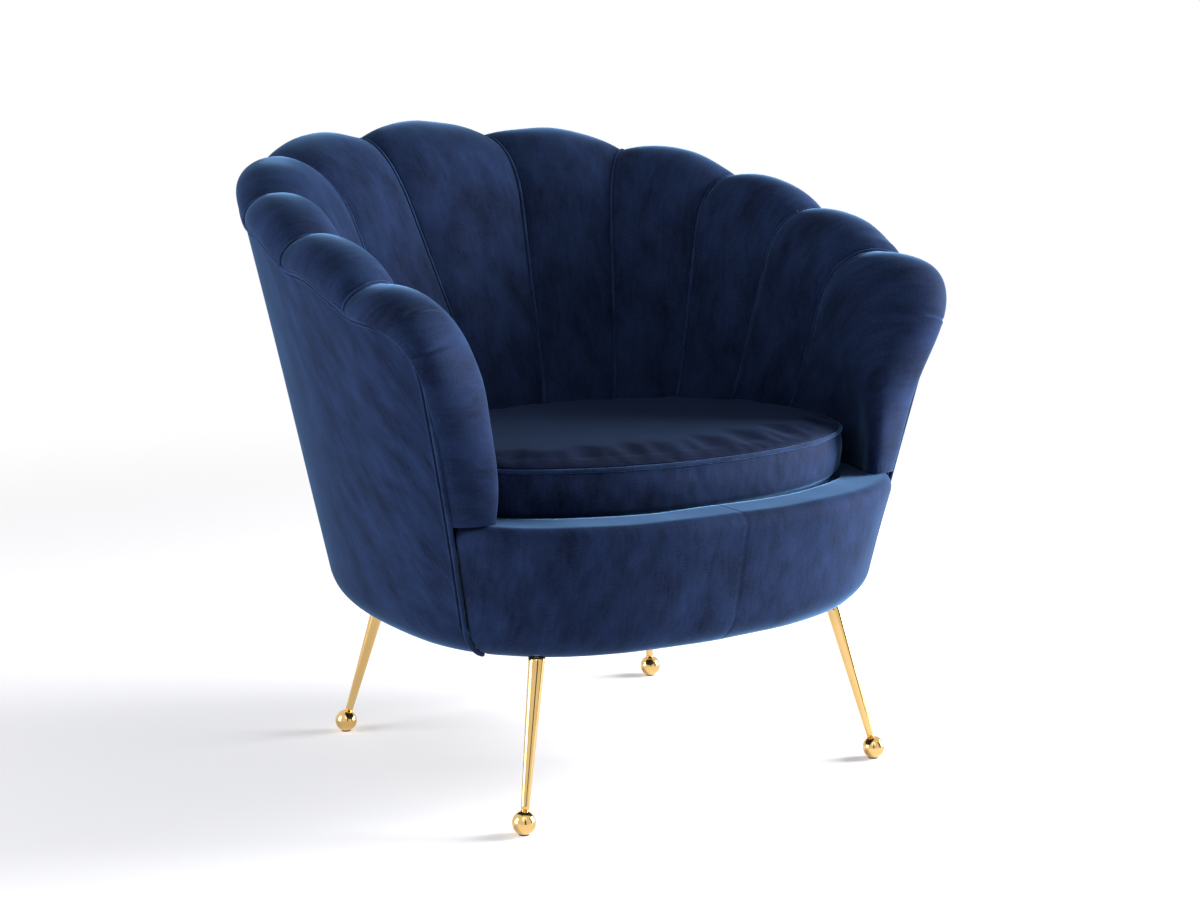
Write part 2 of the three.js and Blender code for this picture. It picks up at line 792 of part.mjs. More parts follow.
// Points of the shell beside the piping, moved along it by a clearance.
const shell = (angle, z) => shellPoint(angle, z);
const coverClearance = rimWeltRadius + weltGap;
const frontLimit = (z, distance) => moveAlong(shell, frontAngle(z), z, distance);

const panelSteps = 160;
const panelEdge = [];
const panelRun = rimEdge.runToLevel(rimEdge.cornerEnd);
for (let step = 0; step <= panelSteps; step += 1) {
  const distance = panelRun * step / panelSteps;
  const [angle, z] = rimEdge.at(distance);
  const [angleBefore, before] = rimEdge.at(distance - probe);
  const [angleAfter, after] = rimEdge.at(distance + probe);
  const flat = shell(angleBefore, z).distanceTo(shell(angleAfter, z));
  const slope = Math.hypot(flat, after - before);
  const wave = distance < noseRimStart ? scallopRise(seamPlace(angle)) : 0;
  panelEdge.push([
    moveAlong(shell, angle, z, coverClearance * (after - before) / slope),
    z + wave - coverClearance * flat / slope,
  ]);
}

function panelTop(angle) {
  const found = panelEdge.findIndex((pair) => pair[0] >= angle);
  const index = found < 0 ? panelSteps : Math.max(1, found);
  const [low, high] = [panelEdge[index - 1], panelEdge[index]];
  return mix(low[1], high[1], clamp01((angle - low[0]) / (high[0] - low[0])));
}

// Profile of the padded lower edge, shared by both covers, as inset and height pairs.
const edgeRows = 5;
const boardTop = baseBoardLevel + boardThickness;
const lowerEdge = [];
for (let step = edgeRows - 1; step >= 0; step -= 1) {
  const z = undersideLevel + edgeHeight * (1 - Math.cos(Math.PI / 2 * step / edgeRows));
  lowerEdge.push([edgeDrawIn(z), z]);
}
lowerEdge.push(
  [flangeInset, flangeLevel],
  [flangeInset, baseBoardLevel - gap],
  [boardInset, baseBoardLevel - gap],
  [boardInset, boardTop + gap],
);

// Legs: each top is set in from the plan curve of the base, and each foot stands where the
// lean takes it. A leg is kept as its name, the foot's place, and its lean toward the middle.
const plateTop = baseBoardLevel - gap;
const legTop = plateTop - legPlateThickness - gap;
const legRise = legTop - ballRadius;
const frontLeg = shellPoint(frontLegAngle * degree, undersideLevel, frontLegInset, false);
const backLeg = shellPoint(backLegAngle * degree, undersideLevel, backLegInset, false);
const frontFootX = frontLeg.x + frontLeanX * legRise;
const frontFootY = frontLeg.y - frontLeanY * legRise;
const backFootX = backLeg.x + backLeanX * legRise;
const backFootY = backLeg.y + backLeanY * legRise;
const legs = [
  ['front_left', -frontFootX, frontFootY, frontLeanX, frontLeanY],
  ['front_right', frontFootX, frontFootY, -frontLeanX, frontLeanY],
  ['back_left', -backFootX, backFootY, backLeanX, -backLeanY],
  ['back_right', backFootX, backFootY, -backLeanX, -backLeanY],
];

// A leaning cylinder whose level sections stay level circles.
// It stands on the origin, as the leg does in its own group.
function leaning([, , , leanX, leanY], lowRadius, highRadius, low, high, sides) {
  const geometry = new THREE.CylinderGeometry(highRadius, lowRadius, high - low, sides);
  geometry.rotateX(Math.PI / 2).translate(0, 0, (low + high) / 2);
  const shear = new THREE.Matrix4().set(
    1, 0, leanX, -leanX * ballRadius,
    0, 1, leanY, -leanY * ballRadius,
    0, 0, 1, 0,
    0, 0, 0, 1,
  );
  return geometry.applyMatrix4(shear);
}

function upright([, , , leanX, leanY], radius, low, high, sides) {
  const middle = (low + high) / 2 - ballRadius;
  const geometry = new THREE.CylinderGeometry(radius, radius, high - low, sides);
  return geometry.rotateX(Math.PI / 2).translate(leanX * middle, leanY * middle, (low + high) / 2);
}

const standing = (leg, geometry) => geometry.translate(leg[1], leg[2], 0);

const legFoot = 2 * ballRadius - ballFlat + gap;
const legRadiusAt = (z) => mix(legFootRadius, legTopRadius, (z - legFoot) / (legTop - legFoot));
const legSides = 14;
const studSides = 10;
const boreRadius = studRadius + boreGap;
const legSpaceFoot = undersideLevel - edgeInset;
const legSpace = (leg) => [
  leaning(leg, legRadiusAt(legSpaceFoot) + gap, legTopRadius + gap, legSpaceFoot, legTop + gap, legSides),
  upright(leg, legPlateRadius + gap, legTop - gap, plateTop + gap, legSides),
].map((space) => standing(leg, space));
const bore = (leg, low, high) => leaning(leg, boreRadius, boreRadius, low, high, studSides);

// Outer cover: the upholstered panel round the back and both arms.
const coverRows = 4;
const coverPlaces = [];
for (let step = 0; step <= 4 * lastSeam; step += 1) coverPlaces.push(step / 4);
const coverNose = 5;
const coverRatios = coverPlaces.map((item) => {
  const angle = seamMix(rimSeamAngles, item);
  return angle / frontLimit(rimLevel(angle), -coverClearance);
});
for (let step = 1; step <= coverNose; step += 1) {
  coverRatios.push(mix(coverRatios[coverPlaces.length - 1], 1, step / coverNose));
}

function coverColumn(ratio) {
  const turn = (z) => ratio * frontLimit(z, -coverClearance);
  let top = rimEdge.cornerEnd;
  if (Math.abs(ratio) < 1) {
    let [low, high] = [undersideLevel + edgeHeight, crestLevel];
    for (let step = 0; step < 40; step += 1) {
      const middle = (low + high) / 2;
      if (middle < panelTop(Math.abs(turn(middle)))) low = middle;
      else high = middle;
    }
    top = low;
  }
  const at = (inset, z) => shellPoint(turn(z), z, inset, false);
  const levels = Array.from(
    { length: coverRows + 1 },
    (_, row) => mix(top, undersideLevel + edgeHeight, row / coverRows),
  );
  return [
    ...levels.map((z) => at(0, z)),
    ...lowerEdge.map(([inset, z]) => at(inset, z)),
    at(notchLip, boardTop + gap),
    ...levels.reverse().map((z) => at(coverThickness, z)),
  ];
}

const mirrored = [...coverRatios.slice(1).reverse().map((ratio) => -ratio), ...coverRatios];
const outerCover = facingOut(bandBody(mirrored.map(coverColumn), false));
place('outer_cover', cut(outerCover, legs.slice(2).flatMap(legSpace)), velvet);

// Front rail cover: the padded rail below the cushion, from one arm front to the other.
const railTurns = 18;
const railProfile = [];
const lipSteps = 4;
for (let step = 0; step <= lipSteps; step += 1) {
  const turn = Math.PI / 2 * (1 - step / lipSteps);
  railProfile.push([railLip * (1 - Math.cos(turn)), railTopLevel - railLip * (1 - Math.sin(turn))]);
}
railProfile.push([0, undersideLevel + edgeHeight], ...lowerEdge);
railProfile.push(
  [railPadding, boardTop + gap],
  [railPadding, seatRingTop + gap],
  [railShelf, seatRingTop + gap],
  [railShelf, railTopLevel],
);
const railColumns = Array.from({ length: railTurns + 1 }, (_, index) => railProfile.map(([inset, z]) => {
  const limit = frontLimit(z, coverClearance);
  return shellPoint(mix(limit, 2 * Math.PI - limit, index / railTurns), z, inset, false);
}));
const railCover = facingOut(bandBody(railColumns, false));
place('front_rail_cover', cut(railCover, legs.slice(0, 2).flatMap(legSpace)), velvet);

// Base board, base wall and dust cloth.
const planCount = 44;
const boardOutline = (inset, z) => planOutline((angle) => shellPoint(angle, z, inset, false), planCount);
const baseBoard = ringPlate(
  boardOutline(boardInset + panelGap, baseBoardLevel),
  boardOutline(boardInset + baseBoardWidth, baseBoardLevel),
  baseBoardLevel,
  boardTop,
);
const boardBores = legs.map((leg) => standing(leg, bore(leg, baseBoardLevel - gap, boardTop + gap)));
place('base_board', cut(baseBoard, boardBores), timber);

const wallInset = railPadding + seatGap;
const baseWallColumns = planOutline((angle) => [
  shellPoint(angle, boardTop + gap, wallInset, false),
  shellPoint(angle, seatRingLevel - gap, wallInset, false),
  shellPoint(angle, seatRingLevel - gap, wallInset + plyThickness, false),
  shellPoint(angle, boardTop + gap, wallInset + plyThickness, false),
], planCount);
place('base_wall', facingOut(bandBody(baseWallColumns, true)), timber);

const dustCloth = plate(
  boardOutline(flangeInset + clothSetback, baseBoardLevel),
  baseBoardLevel - gap - dustClothThickness,
  baseBoardLevel - gap,
);
place('dust_cover', cut(dustCloth, legs.map((leg) => legSpace(leg)[1])), cloth);

// Seat ring: wide behind the arms, set back behind the padded rail in front.
const ringLimit = frontLimit(seatRingLevel, -coverClearance);
const ringTurns = 36;
const ringLagAngle = 1;
const seatOpeningReach = wallCentreY - baseFrontY - seatOpeningSetIn;
const seatOpening = (angle) => planPoint(
  angle, wallHalfWidth - seatRingLap, wallBackReach - seatRingLap, seatOpeningReach, wallCentreY,
  wallBackExponent, frontExponent, seatRingLevel,
);
const ringOutline = [];
const ringOpening = [];
for (let step = 0; step <= ringTurns; step += 1) {
  const angle = mix(-ringLimit, ringLimit, step / ringTurns);
  ringOutline.push(shellPoint(angle, seatRingLevel, coverThickness + panelGap, false));
  ringOpening.push(seatOpening(angle));
}
for (let step = 0; step <= ringTurns / 2; step += 1) {
  const angle = mix(ringLimit, 2 * Math.PI - ringLimit, step / (ringTurns / 2));
  const lag = ringLagAngle * degree * (1 - step / (ringTurns / 4));
  ringOutline.push(shellPoint(angle, seatRingLevel, wallInset, false));
  ringOpening.push(seatOpening(angle + lag));
}
place('seat_ring', ringPlate(ringOutline, ringOpening, seatRingLevel, seatRingTop), timber);

// Seat springs.
const springLevel = seatRingTop + gap + springWire / 2;
const springOuterX = (springCount - 1) / 2 * springSpacing;
const springEndY = wallCentreY + springBackLap
  + reachAt(springOuterX, wallHalfWidth, wallBackReach, wallBackExponent);
const shelfHalfWidth = shellHalfWidth(springLevel) - railShelf;
const shelfReach = shellFrontReach(springLevel) - railShelf;
for (let index = 0; index < springCount; index += 1) {
  const middle = index * springSpacing - springOuterX;
  const nearShelf = reachAt(Math.abs(middle) + springSwing, shelfHalfWidth, shelfReach, frontExponent);
  const start = shellCentreY(springLevel) - nearShelf + springFrontGap;
  const route = new Route((t) => new THREE.Vector3(
    middle + springSwing * Math.sin(Math.PI * springHalfWaves * t),
    mix(start, springEndY, t),
    springLevel,
  ));
  place(`zigzag_spring_${index + 1}`, tube(route, springWire / 2, springSides, springSteps), steel);
}

// Seat deck: the padded platform that the cushion lies on.
const deckLevel = springLevel + springWire / 2 + gap;
const deckReach = padDepth - deckSetback;
const deckWall = planOutline((angle) => planPoint(
  angle, wallHalfWidth + deckReach, wallBackReach + deckReach, wallFrontReach + deckReach, wallCentreY,
  wallBackExponent, wallFrontExponent, deckLevel,
), planCount);
const deckLimit = frontLimit(deckLevel, coverClearance - seatGap);
const deckFront = [];
for (let step = 0; step <= ringTurns; step += 1) {
  deckFront.push(shellPoint(mix(-deckLimit, deckLimit, step / ringTurns), deckLevel, 0, false));
}
for (let step = 0; step <= ringTurns; step += 1) {
  const angle = mix(deckLimit, 2 * Math.PI - deckLimit, step / ringTurns);
  deckFront.push(shellPoint(angle, deckLevel, railShelf + seatGap, false));
}
place('seat_deck', common(
  plate(deckWall, deckLevel, deckTopLevel),
  plate(deckFront, deckLevel, deckTopLevel),
), cloth);

// Inner shell: the bent board behind the channels.
const postBack = postSetback + postDepth;
const shellFoot = seatRingTop + gap;
const shellBehind = padDepth + shellGap;
const innerTurns = 28;
const innerColumns = Array.from({ length: innerTurns + 1 }, (_, index) => {
  const ratio = mix(-1, 1, index / innerTurns);
  const limit = (z) => moveAlong(wallPoint, wallFrontAngle(z), z, -postBack - railGap);
  const top = wallTopLevel(Math.abs(ratio) * limit(rimSideLevel - wallDrop)) - topRailDrop;
  const levels = [shellFoot, ...wallRowShares.map((share) => mix(padFootLevel, top, share))];
  const backLevels = [...levels.filter((_item, row) => row % 2 === 0), shellFoot].sort((a, b) => b - a);
  return [
    ...levels.map((z) => behindWall(ratio * limit(z), z, shellBehind)),
    ...backLevels.map((z) => behindWall(ratio * limit(z), z, shellBehind + plyThickness)),
  ];
});
place('inner_shell', facingOut(bandBody(innerColumns, false)), timber);

// Top rail: ties the inner shell to the outer panel.
const railLevel = (angle) => rimLevel(angle) - wallDrop - topRailDrop;
const railInside = shellBehind + plyThickness + railGap;
const railSide = rimSideLevel - wallDrop - boardThickness;
const innerEnd = moveAlong(wallPoint, wallFrontAngle(railSide), railSide, -postSetback);
const outerEnd = frontLimit(railSide, -postPanelSetback);
const topTurns = 36;
const topColumns = Array.from({ length: topTurns + 1 }, (_, index) => {
  const ratio = mix(-1, 1, index / topTurns);
  const high = railLevel(ratio * outerEnd);
  const low = high - boardThickness;
  const inside = (z) => behindWall(ratio * innerEnd, z, railInside);
  const outside = (z) => shellPoint(ratio * outerEnd, z, coverThickness + panelGap, false);
  return [inside(high), outside(high), outside(low), inside(low)];
});
place('top_rail', facingOut(bandBody(topColumns, false)), timber);

// Arm posts.
const postTop = railLevel(outerEnd) - boardThickness - gap;
const postRows = 5;
for (const [name, side] of [['left', -1], ['right', 1]]) {
  const sections = Array.from({ length: postRows + 1 }, (_, row) => {
    const z = mix(shellFoot, postTop, row / postRows);
    const inside = (distance) => behindWall(
      side * moveAlong(wallPoint, wallFrontAngle(z), z, -distance), z, padDepth + panelGap,
    );
    const outside = (distance) => shellPoint(
      side * frontLimit(z, -distance), z, coverThickness + panelGap, false,
    );
    const outer = [postPanelSetback + postDepth, postPanelSetback].map(outside);
    return [inside(postSetback), inside(postBack), ...outer];
  });
  place(`arm_post_${name}`, facingOut(bandBody(sections, false)), timber);
}

// Back rib.
const ribTop = railLevel(0) - boardThickness - gap;
const ribRows = 4;
const ribSections = [-1, 1].map((side) => {
  const levels = Array.from({ length: ribRows + 1 }, (_, row) => mix(shellFoot, ribTop, row / ribRows));
  const at = (z, inset) => {
    const point = shellPoint(0, z, inset, false);
    return point.setX(side * ribThickness / 2);
  };
  const near = coverThickness + panelGap;
  return [...levels.map((z) => at(z, near)), ...levels.reverse().map((z) => at(z, near + ribWidth))];
});
place('back_rib', facingOut(bandBody(ribSections, false)), timber);

// Seat cushion with piping in a groove round its top edge.
const cushionMiddleY = cushionCentreY + (cushionBackReach - cushionFrontReach) / 2;
const cushionMiddle = new THREE.Vector3(0, cushionMiddleY, 0);
const cushionPoint = (angle, inset, z) => planPoint(
  angle, cushionHalfWidth - inset, cushionBackReach - inset, cushionFrontReach - inset, cushionCentreY,
  cushionBackExponent, cushionFrontExponent, z,
);
const weltRoute = new Route((t) => cushionPoint(2 * Math.PI * t, 0, cushionWeltLevel));
const cushionTurns = weltRoute.getSpacedPoints(cushionSections).slice(0, cushionSections);
const cushionFoot = deckTopLevel + cushionLift;
const cushionTop = cushionWeltLevel + cushionCrown;
const grooveReach = cushionWeltRadius + weltGap + weltProud;
const cushionProfile = [];
const cornerSteps = 3;
for (let step = 0; step <= cornerSteps; step += 1) {
  const turn = Math.PI / 2 * step / cornerSteps;
  const [inset, rise] = [cushionCorner * (1 - Math.sin(turn)), cushionCorner * (1 - Math.cos(turn))];
  cushionProfile.push([inset, cushionFoot + rise]);
}
const sideFoot = cushionFoot + cushionCorner;
const grooveFoot = cushionWeltLevel - grooveReach;
for (const share of [1 / 3, 2 / 3]) {
  cushionProfile.push([-cushionSideBulge * Math.sin(Math.PI * share), mix(sideFoot, grooveFoot, share)]);
}
const crownFoot = cushionWeltLevel + grooveReach;
cushionProfile.push([0, grooveFoot], [grooveReach, cushionWeltLevel], [weltProud, crownFoot]);
const crownShares = [[0.15, 0.3], [0.42, 0.58], [1, 0.8]];
for (const [reachShare, share] of crownShares) {
  cushionProfile.push([crownReach * reachShare, mix(crownFoot, cushionTop, share)]);
}
const middleShares = [[0.66, 0.95], [0.33, 1]];
function cushionRing([inset, z], point) {
  const inward = cushionMiddle.clone().sub(point).setZ(0).normalize();
  return point.clone().addScaledVector(inward, inset).setZ(z);
}
const cushionRings = cushionProfile.map((row) => cushionTurns.map((point) => cushionRing(row, point)));
const edgeRing = cushionRings.at(-1);
for (const [scale, share] of middleShares) {
  const level = mix(mix(crownFoot, cushionTop, crownShares.at(-1)[1]), cushionTop, share);
  cushionRings.push(edgeRing.map((point) => cushionMiddle.clone().lerp(point, scale).setZ(level)));
}

function cappedRings(rings, bottom, top) {
  const count = rings[0].length;
  const points = [...rings.flat(), bottom, top];
  const index = [];
  for (let i = 0; i < rings.length - 1; i += 1) {
    for (let j = 0; j < count; j += 1) {
      const next = (j + 1) % count;
      const [a, b] = [i * count + j, i * count + next];
      index.push(a, b, b + count, a, b + count, a + count);
    }
  }
  const last = (rings.length - 1) * count;
  for (let j = 0; j < count; j += 1) {
    const next = (j + 1) % count;
    index.push(points.length - 2, next, j);
    index.push(points.length - 1, last + j, last + next);
  }
  const geometry = new THREE.BufferGeometry();
  const numbers = points.flatMap((p) => [p.x, p.y, p.z]);
  geometry.setAttribute('position', new THREE.Float32BufferAttribute(numbers, 3));
  geometry.setIndex(index);
  return facingOut(geometry);
}

place('seat_cushion', cappedRings(
  cushionRings,
  cushionMiddle.clone().setZ(cushionFoot),
  cushionMiddle.clone().setZ(cushionTop),
), velvet);
const weltLength = weltRoute.getLength();
const weltShare = (t) => clamp01(mix(gap, weltLength - gap, t) / weltLength);
const cushionWeltRoute = new Route((t) => weltRoute.getPointAt(weltShare(t)));
place('cushion_welt', tube(cushionWeltRoute, cushionWeltRadius, weltSides, cushionSections), piping);

// Legs, ball feet, floor glides, leg plates and studs.
const ballSteps = 8;
const ballRadii = [];
const flatTurn = Math.acos((ballRadius - ballFlat) / ballRadius);
const footTurn = Math.acos((ballRadius - glideHeight - gap) / ballRadius);
for (let step = 0; step <= ballSteps; step += 1) {
  const turn = mix(footTurn, Math.PI - flatTurn, step / ballSteps);
  ballRadii.push(new THREE.Vector2(ballRadius * Math.sin(turn), ballRadius * (1 - Math.cos(turn))));
}
const ballOutline = [
  new THREE.Vector2(0, ballRadii[0].y),
  ...ballRadii,
  new THREE.Vector2(0, ballRadii.at(-1).y),
];
for (const leg of legs) {
  const [name, x, y] = leg;
  const stand = new THREE.Group();
  stand.position.set(x, y, 0);
  assembly.add(stand);
  const shaft = leaning(leg, legFootRadius, legTopRadius, legFoot, legTop, legSides);
  const ball = new THREE.LatheGeometry(ballOutline, legSides).rotateX(Math.PI / 2);
  const glide = new THREE.CylinderGeometry(glideRadius, glideRadius, glideHeight, legSides);
  const legPlate = upright(leg, legPlateRadius, legTop + gap, plateTop, legSides);
  place(`leg_${name}`, cut(shaft, [bore(leg, legTop - studReach, legTop + gap)]), brass, stand);
  place(`ball_foot_${name}`, facingOut(mergeVertices(bareGeometry(ball))), brass, stand);
  place(`floor_glide_${name}`, glide.rotateX(Math.PI / 2).translate(0, 0, glideHeight / 2), nylon, stand);
  place(`leg_plate_${name}`, cut(legPlate, [bore(leg, legTop, plateTop + gap)]), steel, stand);
  const studFoot = legTop - studReach + gap;
  const stud = leaning(leg, studRadius, studRadius, studFoot, boardTop + studTail, studSides);
  place(`leg_stud_${name}`, stud, steel, stand);
}

// The origin lies at the middle of the bounding box, on the floor.
const bounds = new THREE.Box3().setFromObject(chair);
const middle = bounds.getCenter(new THREE.Vector3());
assembly.position.set(-middle.x, -middle.y, -bounds.min.z);

export default chair;
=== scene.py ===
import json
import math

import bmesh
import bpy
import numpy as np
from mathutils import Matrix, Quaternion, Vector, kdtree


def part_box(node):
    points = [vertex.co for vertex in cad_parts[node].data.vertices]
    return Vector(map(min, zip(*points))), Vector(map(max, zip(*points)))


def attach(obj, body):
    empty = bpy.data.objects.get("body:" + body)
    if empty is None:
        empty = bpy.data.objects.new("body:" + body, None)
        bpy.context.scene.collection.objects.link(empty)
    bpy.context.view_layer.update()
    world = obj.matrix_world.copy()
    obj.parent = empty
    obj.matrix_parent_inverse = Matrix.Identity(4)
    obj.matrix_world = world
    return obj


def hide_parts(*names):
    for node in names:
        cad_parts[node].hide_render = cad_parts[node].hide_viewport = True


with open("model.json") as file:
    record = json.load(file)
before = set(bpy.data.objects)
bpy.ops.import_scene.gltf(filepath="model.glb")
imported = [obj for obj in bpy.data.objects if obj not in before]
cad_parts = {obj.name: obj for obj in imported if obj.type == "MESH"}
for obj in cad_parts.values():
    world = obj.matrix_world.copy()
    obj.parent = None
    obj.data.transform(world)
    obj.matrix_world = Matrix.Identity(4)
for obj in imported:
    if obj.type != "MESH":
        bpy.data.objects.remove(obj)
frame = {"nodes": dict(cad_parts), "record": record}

# %% [markdown]
# # Scallop back chair
# A tub armchair whose back is made of eleven stuffed channels. The rigid model gives every
# size, and this lesson dresses it: fine channel pads, piping, cover panels, a soft cushion,
# polished legs, and velvet that is built from nodes alone. Each step starts with a short note
# on what the piece is on the real chair and why it is made the way it is.

mm = 0.001
degree = math.pi / 180
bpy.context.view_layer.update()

# %% [markdown]
# ## Camera
# The chair stands turned by 34 degrees, seen from a little above the arms. A long lens keeps the
# verticals nearly parallel. The camera is placed on a ray from the point that it looks at, so
# azimuth, elevation and distance can be changed one at a time, and it is rolled by a third of a
# degree, because the picture isn't quite level.

# %% Camera
lens_mm = 70.2
sensor_mm = 36.0
azimuth = -34.038 * degree
elevation = 10.433 * degree
roll = 0.296 * degree
camera_distance = 3.077
look_at = Vector((0, -0.1035, 0.400))

back_ray = Vector((
    math.sin(azimuth) * math.cos(elevation),
    -math.cos(azimuth) * math.cos(elevation),
    math.sin(elevation),
))
camera_data = bpy.data.cameras.new("camera")
camera_data.lens = lens_mm
camera_data.sensor_width = sensor_mm
camera = bpy.data.objects.new("camera", camera_data)
camera.location = look_at + back_ray * camera_distance
camera.rotation_mode = "QUATERNION"
camera.rotation_quaternion = (-back_ray).to_track_quat("-Z", "Y") @ Quaternion((0, 0, 1), roll)
bpy.context.scene.collection.objects.link(camera)
bpy.context.scene.camera = camera
bpy.context.scene.view_settings.view_transform = "Standard"
print("camera at", [round(v, 3) for v in camera.location])

# %% [markdown]
# ## Nodes written as expressions
# A material is a small sum: base colour times a bit of streak, plus a bit of weave. Wiring that
# by hand is slow to read, so `Wire` wraps an output socket and gives it the plus and times signs.
# `Nodes` adds any other node from its type, its settings and the values of its sockets, and it
# serves shader trees and geometry trees alike.

# %% Wires and nodes
class Wire:
    """An output socket that can be added and multiplied, from either side."""

    def __init__(self, nodes, socket):
        self.nodes = nodes
        self.socket = socket

    def math(self, operation, *others):
        return self.nodes.add("ShaderNodeMath", {"operation": operation}, [self, *others])

    def __add__(self, other):
        return self.math("ADD", other)

    def __mul__(self, other):
        return self.math("MULTIPLY", other)

    __radd__ = __add__
    __rmul__ = __mul__


class Nodes:
    """Adds nodes to a tree, and links whatever is a Wire."""

    def __init__(self, tree):
        self.tree = tree

    def add(self, kind, settings=None, values=(), out=0):
        node = self.tree.nodes.new(kind)
        for name, value in (settings or {}).items():
            setattr(node, name, value)
        pairs = values.items() if isinstance(values, dict) else enumerate(values)
        for key, value in pairs:
            self.put(node.inputs[key], value)
        return Wire(self, node.outputs[out]) if len(node.outputs) else node

    def put(self, socket, value):
        if isinstance(value, Wire):
            self.tree.links.new(value.socket, socket)
        else:
            socket.default_value = value

    def blend(self, low, high, share):
        """Mixes two colours by a share."""
        values = {0: share, 6: low, 7: high}
        return self.add("ShaderNodeMix", {"data_type": "RGBA"}, values, out=2)

    def stretch(self, vector, scale):
        """Scales a vector along its three axes."""
        return self.add("ShaderNodeVectorMath", {"operation": "MULTIPLY"}, [vector, scale])

    def noise(self, vector, detail=2.0, roughness=0.5):
        values = {"Vector": vector, "Scale": 1.0, "Detail": detail, "Roughness": roughness}
        return self.add("ShaderNodeTexNoise", values=values)


def colour(red, green, blue):
    """A linear colour from three 8-bit values."""
    def linear(value):
        value = value / 255
        return value / 12.92 if value <= 0.04045 else ((value + 0.055) / 1.055) ** 2.4
    return (linear(red), linear(green), linear(blue), 1.0)


def new_material(name):
    material = bpy.data.materials.new(name)
    material.use_nodes = True
    material.node_tree.nodes.clear()
    return material, Nodes(material.node_tree)


def principled(nodes, values):
    """Ends a material in a Principled shader with these sockets set or linked."""
    shader = nodes.add("ShaderNodeBsdfPrincipled", values=values)
    nodes.add("ShaderNodeOutputMaterial", values=[shader])


print("node helpers are ready")

# %% [markdown]
# ## Floor, backdrop and light
# The studio is white and the chair throws a pale, soft shadow. For the camera and for
# reflections the floor adds a little glow to its own diffuse colour, so that it is white where
# the light falls and keeps the shadow, and it fades to plain white away from the chair. For all
# other rays it is an ordinary pale floor. The world is white to the camera in the same way.

# %% Floor and world
floor_size = 60.0
floor_fade_start = 0.9
floor_fade_end = 2.6
floor_glow = 0.26
floor_tone = colour(232, 232, 238)
shadow_tone = colour(236, 236, 240)
world_light = 0.15


def background_ray(nodes):
    """1 for rays from the camera, from a mirror or through glass, and 0 for the rest."""
    path = nodes.tree.nodes.new("ShaderNodeLightPath")
    seen = [Wire(nodes, path.outputs[name]) for name in
            ("Is Camera Ray", "Is Glossy Ray", "Is Transmission Ray")]
    return (seen[0] + seen[1] + seen[2]).math("MINIMUM", 1.0)


def floor_material():
    material, nodes = new_material("studio_floor")
    place = nodes.add("ShaderNodeTexCoord", out="Object")
    reach = nodes.add("ShaderNodeVectorMath", {"operation": "LENGTH"}, [place], out="Value")
    fade = nodes.add("ShaderNodeMapRange", {"interpolation_type": "SMOOTHSTEP"},
                     [reach, floor_fade_start, floor_fade_end, 0.0, 1.0])
    pale = nodes.add("ShaderNodeBsdfDiffuse", values=[floor_tone])
    shaded = nodes.add("ShaderNodeBsdfDiffuse", values=[shadow_tone])
    white = nodes.add("ShaderNodeEmission", values=[(1, 1, 1, 1), 1.0])
    glow = nodes.add("ShaderNodeEmission", values=[(1, 1, 1, 1), floor_glow])
    near = nodes.add("ShaderNodeAddShader", values=[shaded, glow])
    seen = nodes.add("ShaderNodeMixShader", values=[fade, near, white])
    final = nodes.add("ShaderNodeMixShader", values=[background_ray(nodes), pale, seen])
    nodes.add("ShaderNodeOutputMaterial", values=[final])
    return material


def world_material():
    world = bpy.data.worlds.new("studio")
    world.use_nodes = True
    world.node_tree.nodes.clear()
    nodes = Nodes(world.node_tree)
    light = nodes.add("ShaderNodeBackground", values=[(1, 1, 1, 1), world_light])
    white = nodes.add("ShaderNodeBackground", values=[(1, 1, 1, 1), 1.0])
    final = nodes.add("ShaderNodeMixShader", values=[background_ray(nodes), light, white])
    nodes.add("ShaderNodeOutputWorld", values=[final])
    bpy.context.scene.world = world


half_floor = floor_size / 2
floor_mesh = bpy.data.meshes.new("studio_floor")
floor_mesh.from_pydata(
    [(-half_floor, -half_floor, 0), (half_floor, -half_floor, 0),
     (half_floor, half_floor, 0), (-half_floor, half_floor, 0)], [], [(0, 1, 2, 3)])
floor = bpy.data.objects.new("studio_floor", floor_mesh)
floor.data.materials.append(floor_material())
bpy.context.scene.collection.objects.link(floor)
world_material()
print("floor of", floor_size, "m and a white world")

# %% [markdown]
# ## Lamps
# Velvet shows its form by the light that grazes it, so two large soft boxes stand low at the
# sides, and a much weaker one fills in from above the camera. Polished brass shows only what
# surrounds it: two dark cards that nothing but reflections can see give the legs dark streaks.

# %% Lamps
def soft_box(name, azimuth_degrees, elevation_degrees, reach, width, height, power):
    """A rectangular lamp on a sphere round the chair, turned to its middle."""
    turn, lift = azimuth_degrees * degree, elevation_degrees * degree
    ray = Vector((math.sin(turn) * math.cos(lift), -math.cos(turn) * math.cos(lift), math.sin(lift)))
    data = bpy.data.lights.new(name, "AREA")
    data.shape = "RECTANGLE"
    data.size, data.size_y, data.energy = width, height, power
    lamp = bpy.data.objects.new(name, data)
    lamp.location = look_at + ray * reach
    lamp.rotation_mode = "QUATERNION"
    lamp.rotation_quaternion = (-ray).to_track_quat("-Z", "Y")
    bpy.context.scene.collection.objects.link(lamp)


soft_box("key_box", 70, 12, 3.2, 1.5, 2.0, 330)
soft_box("left_box", -108, 9, 3.0, 1.4, 2.2, 78)
soft_box("top_box", -30, 44, 3.0, 2.0, 2.0, 14)


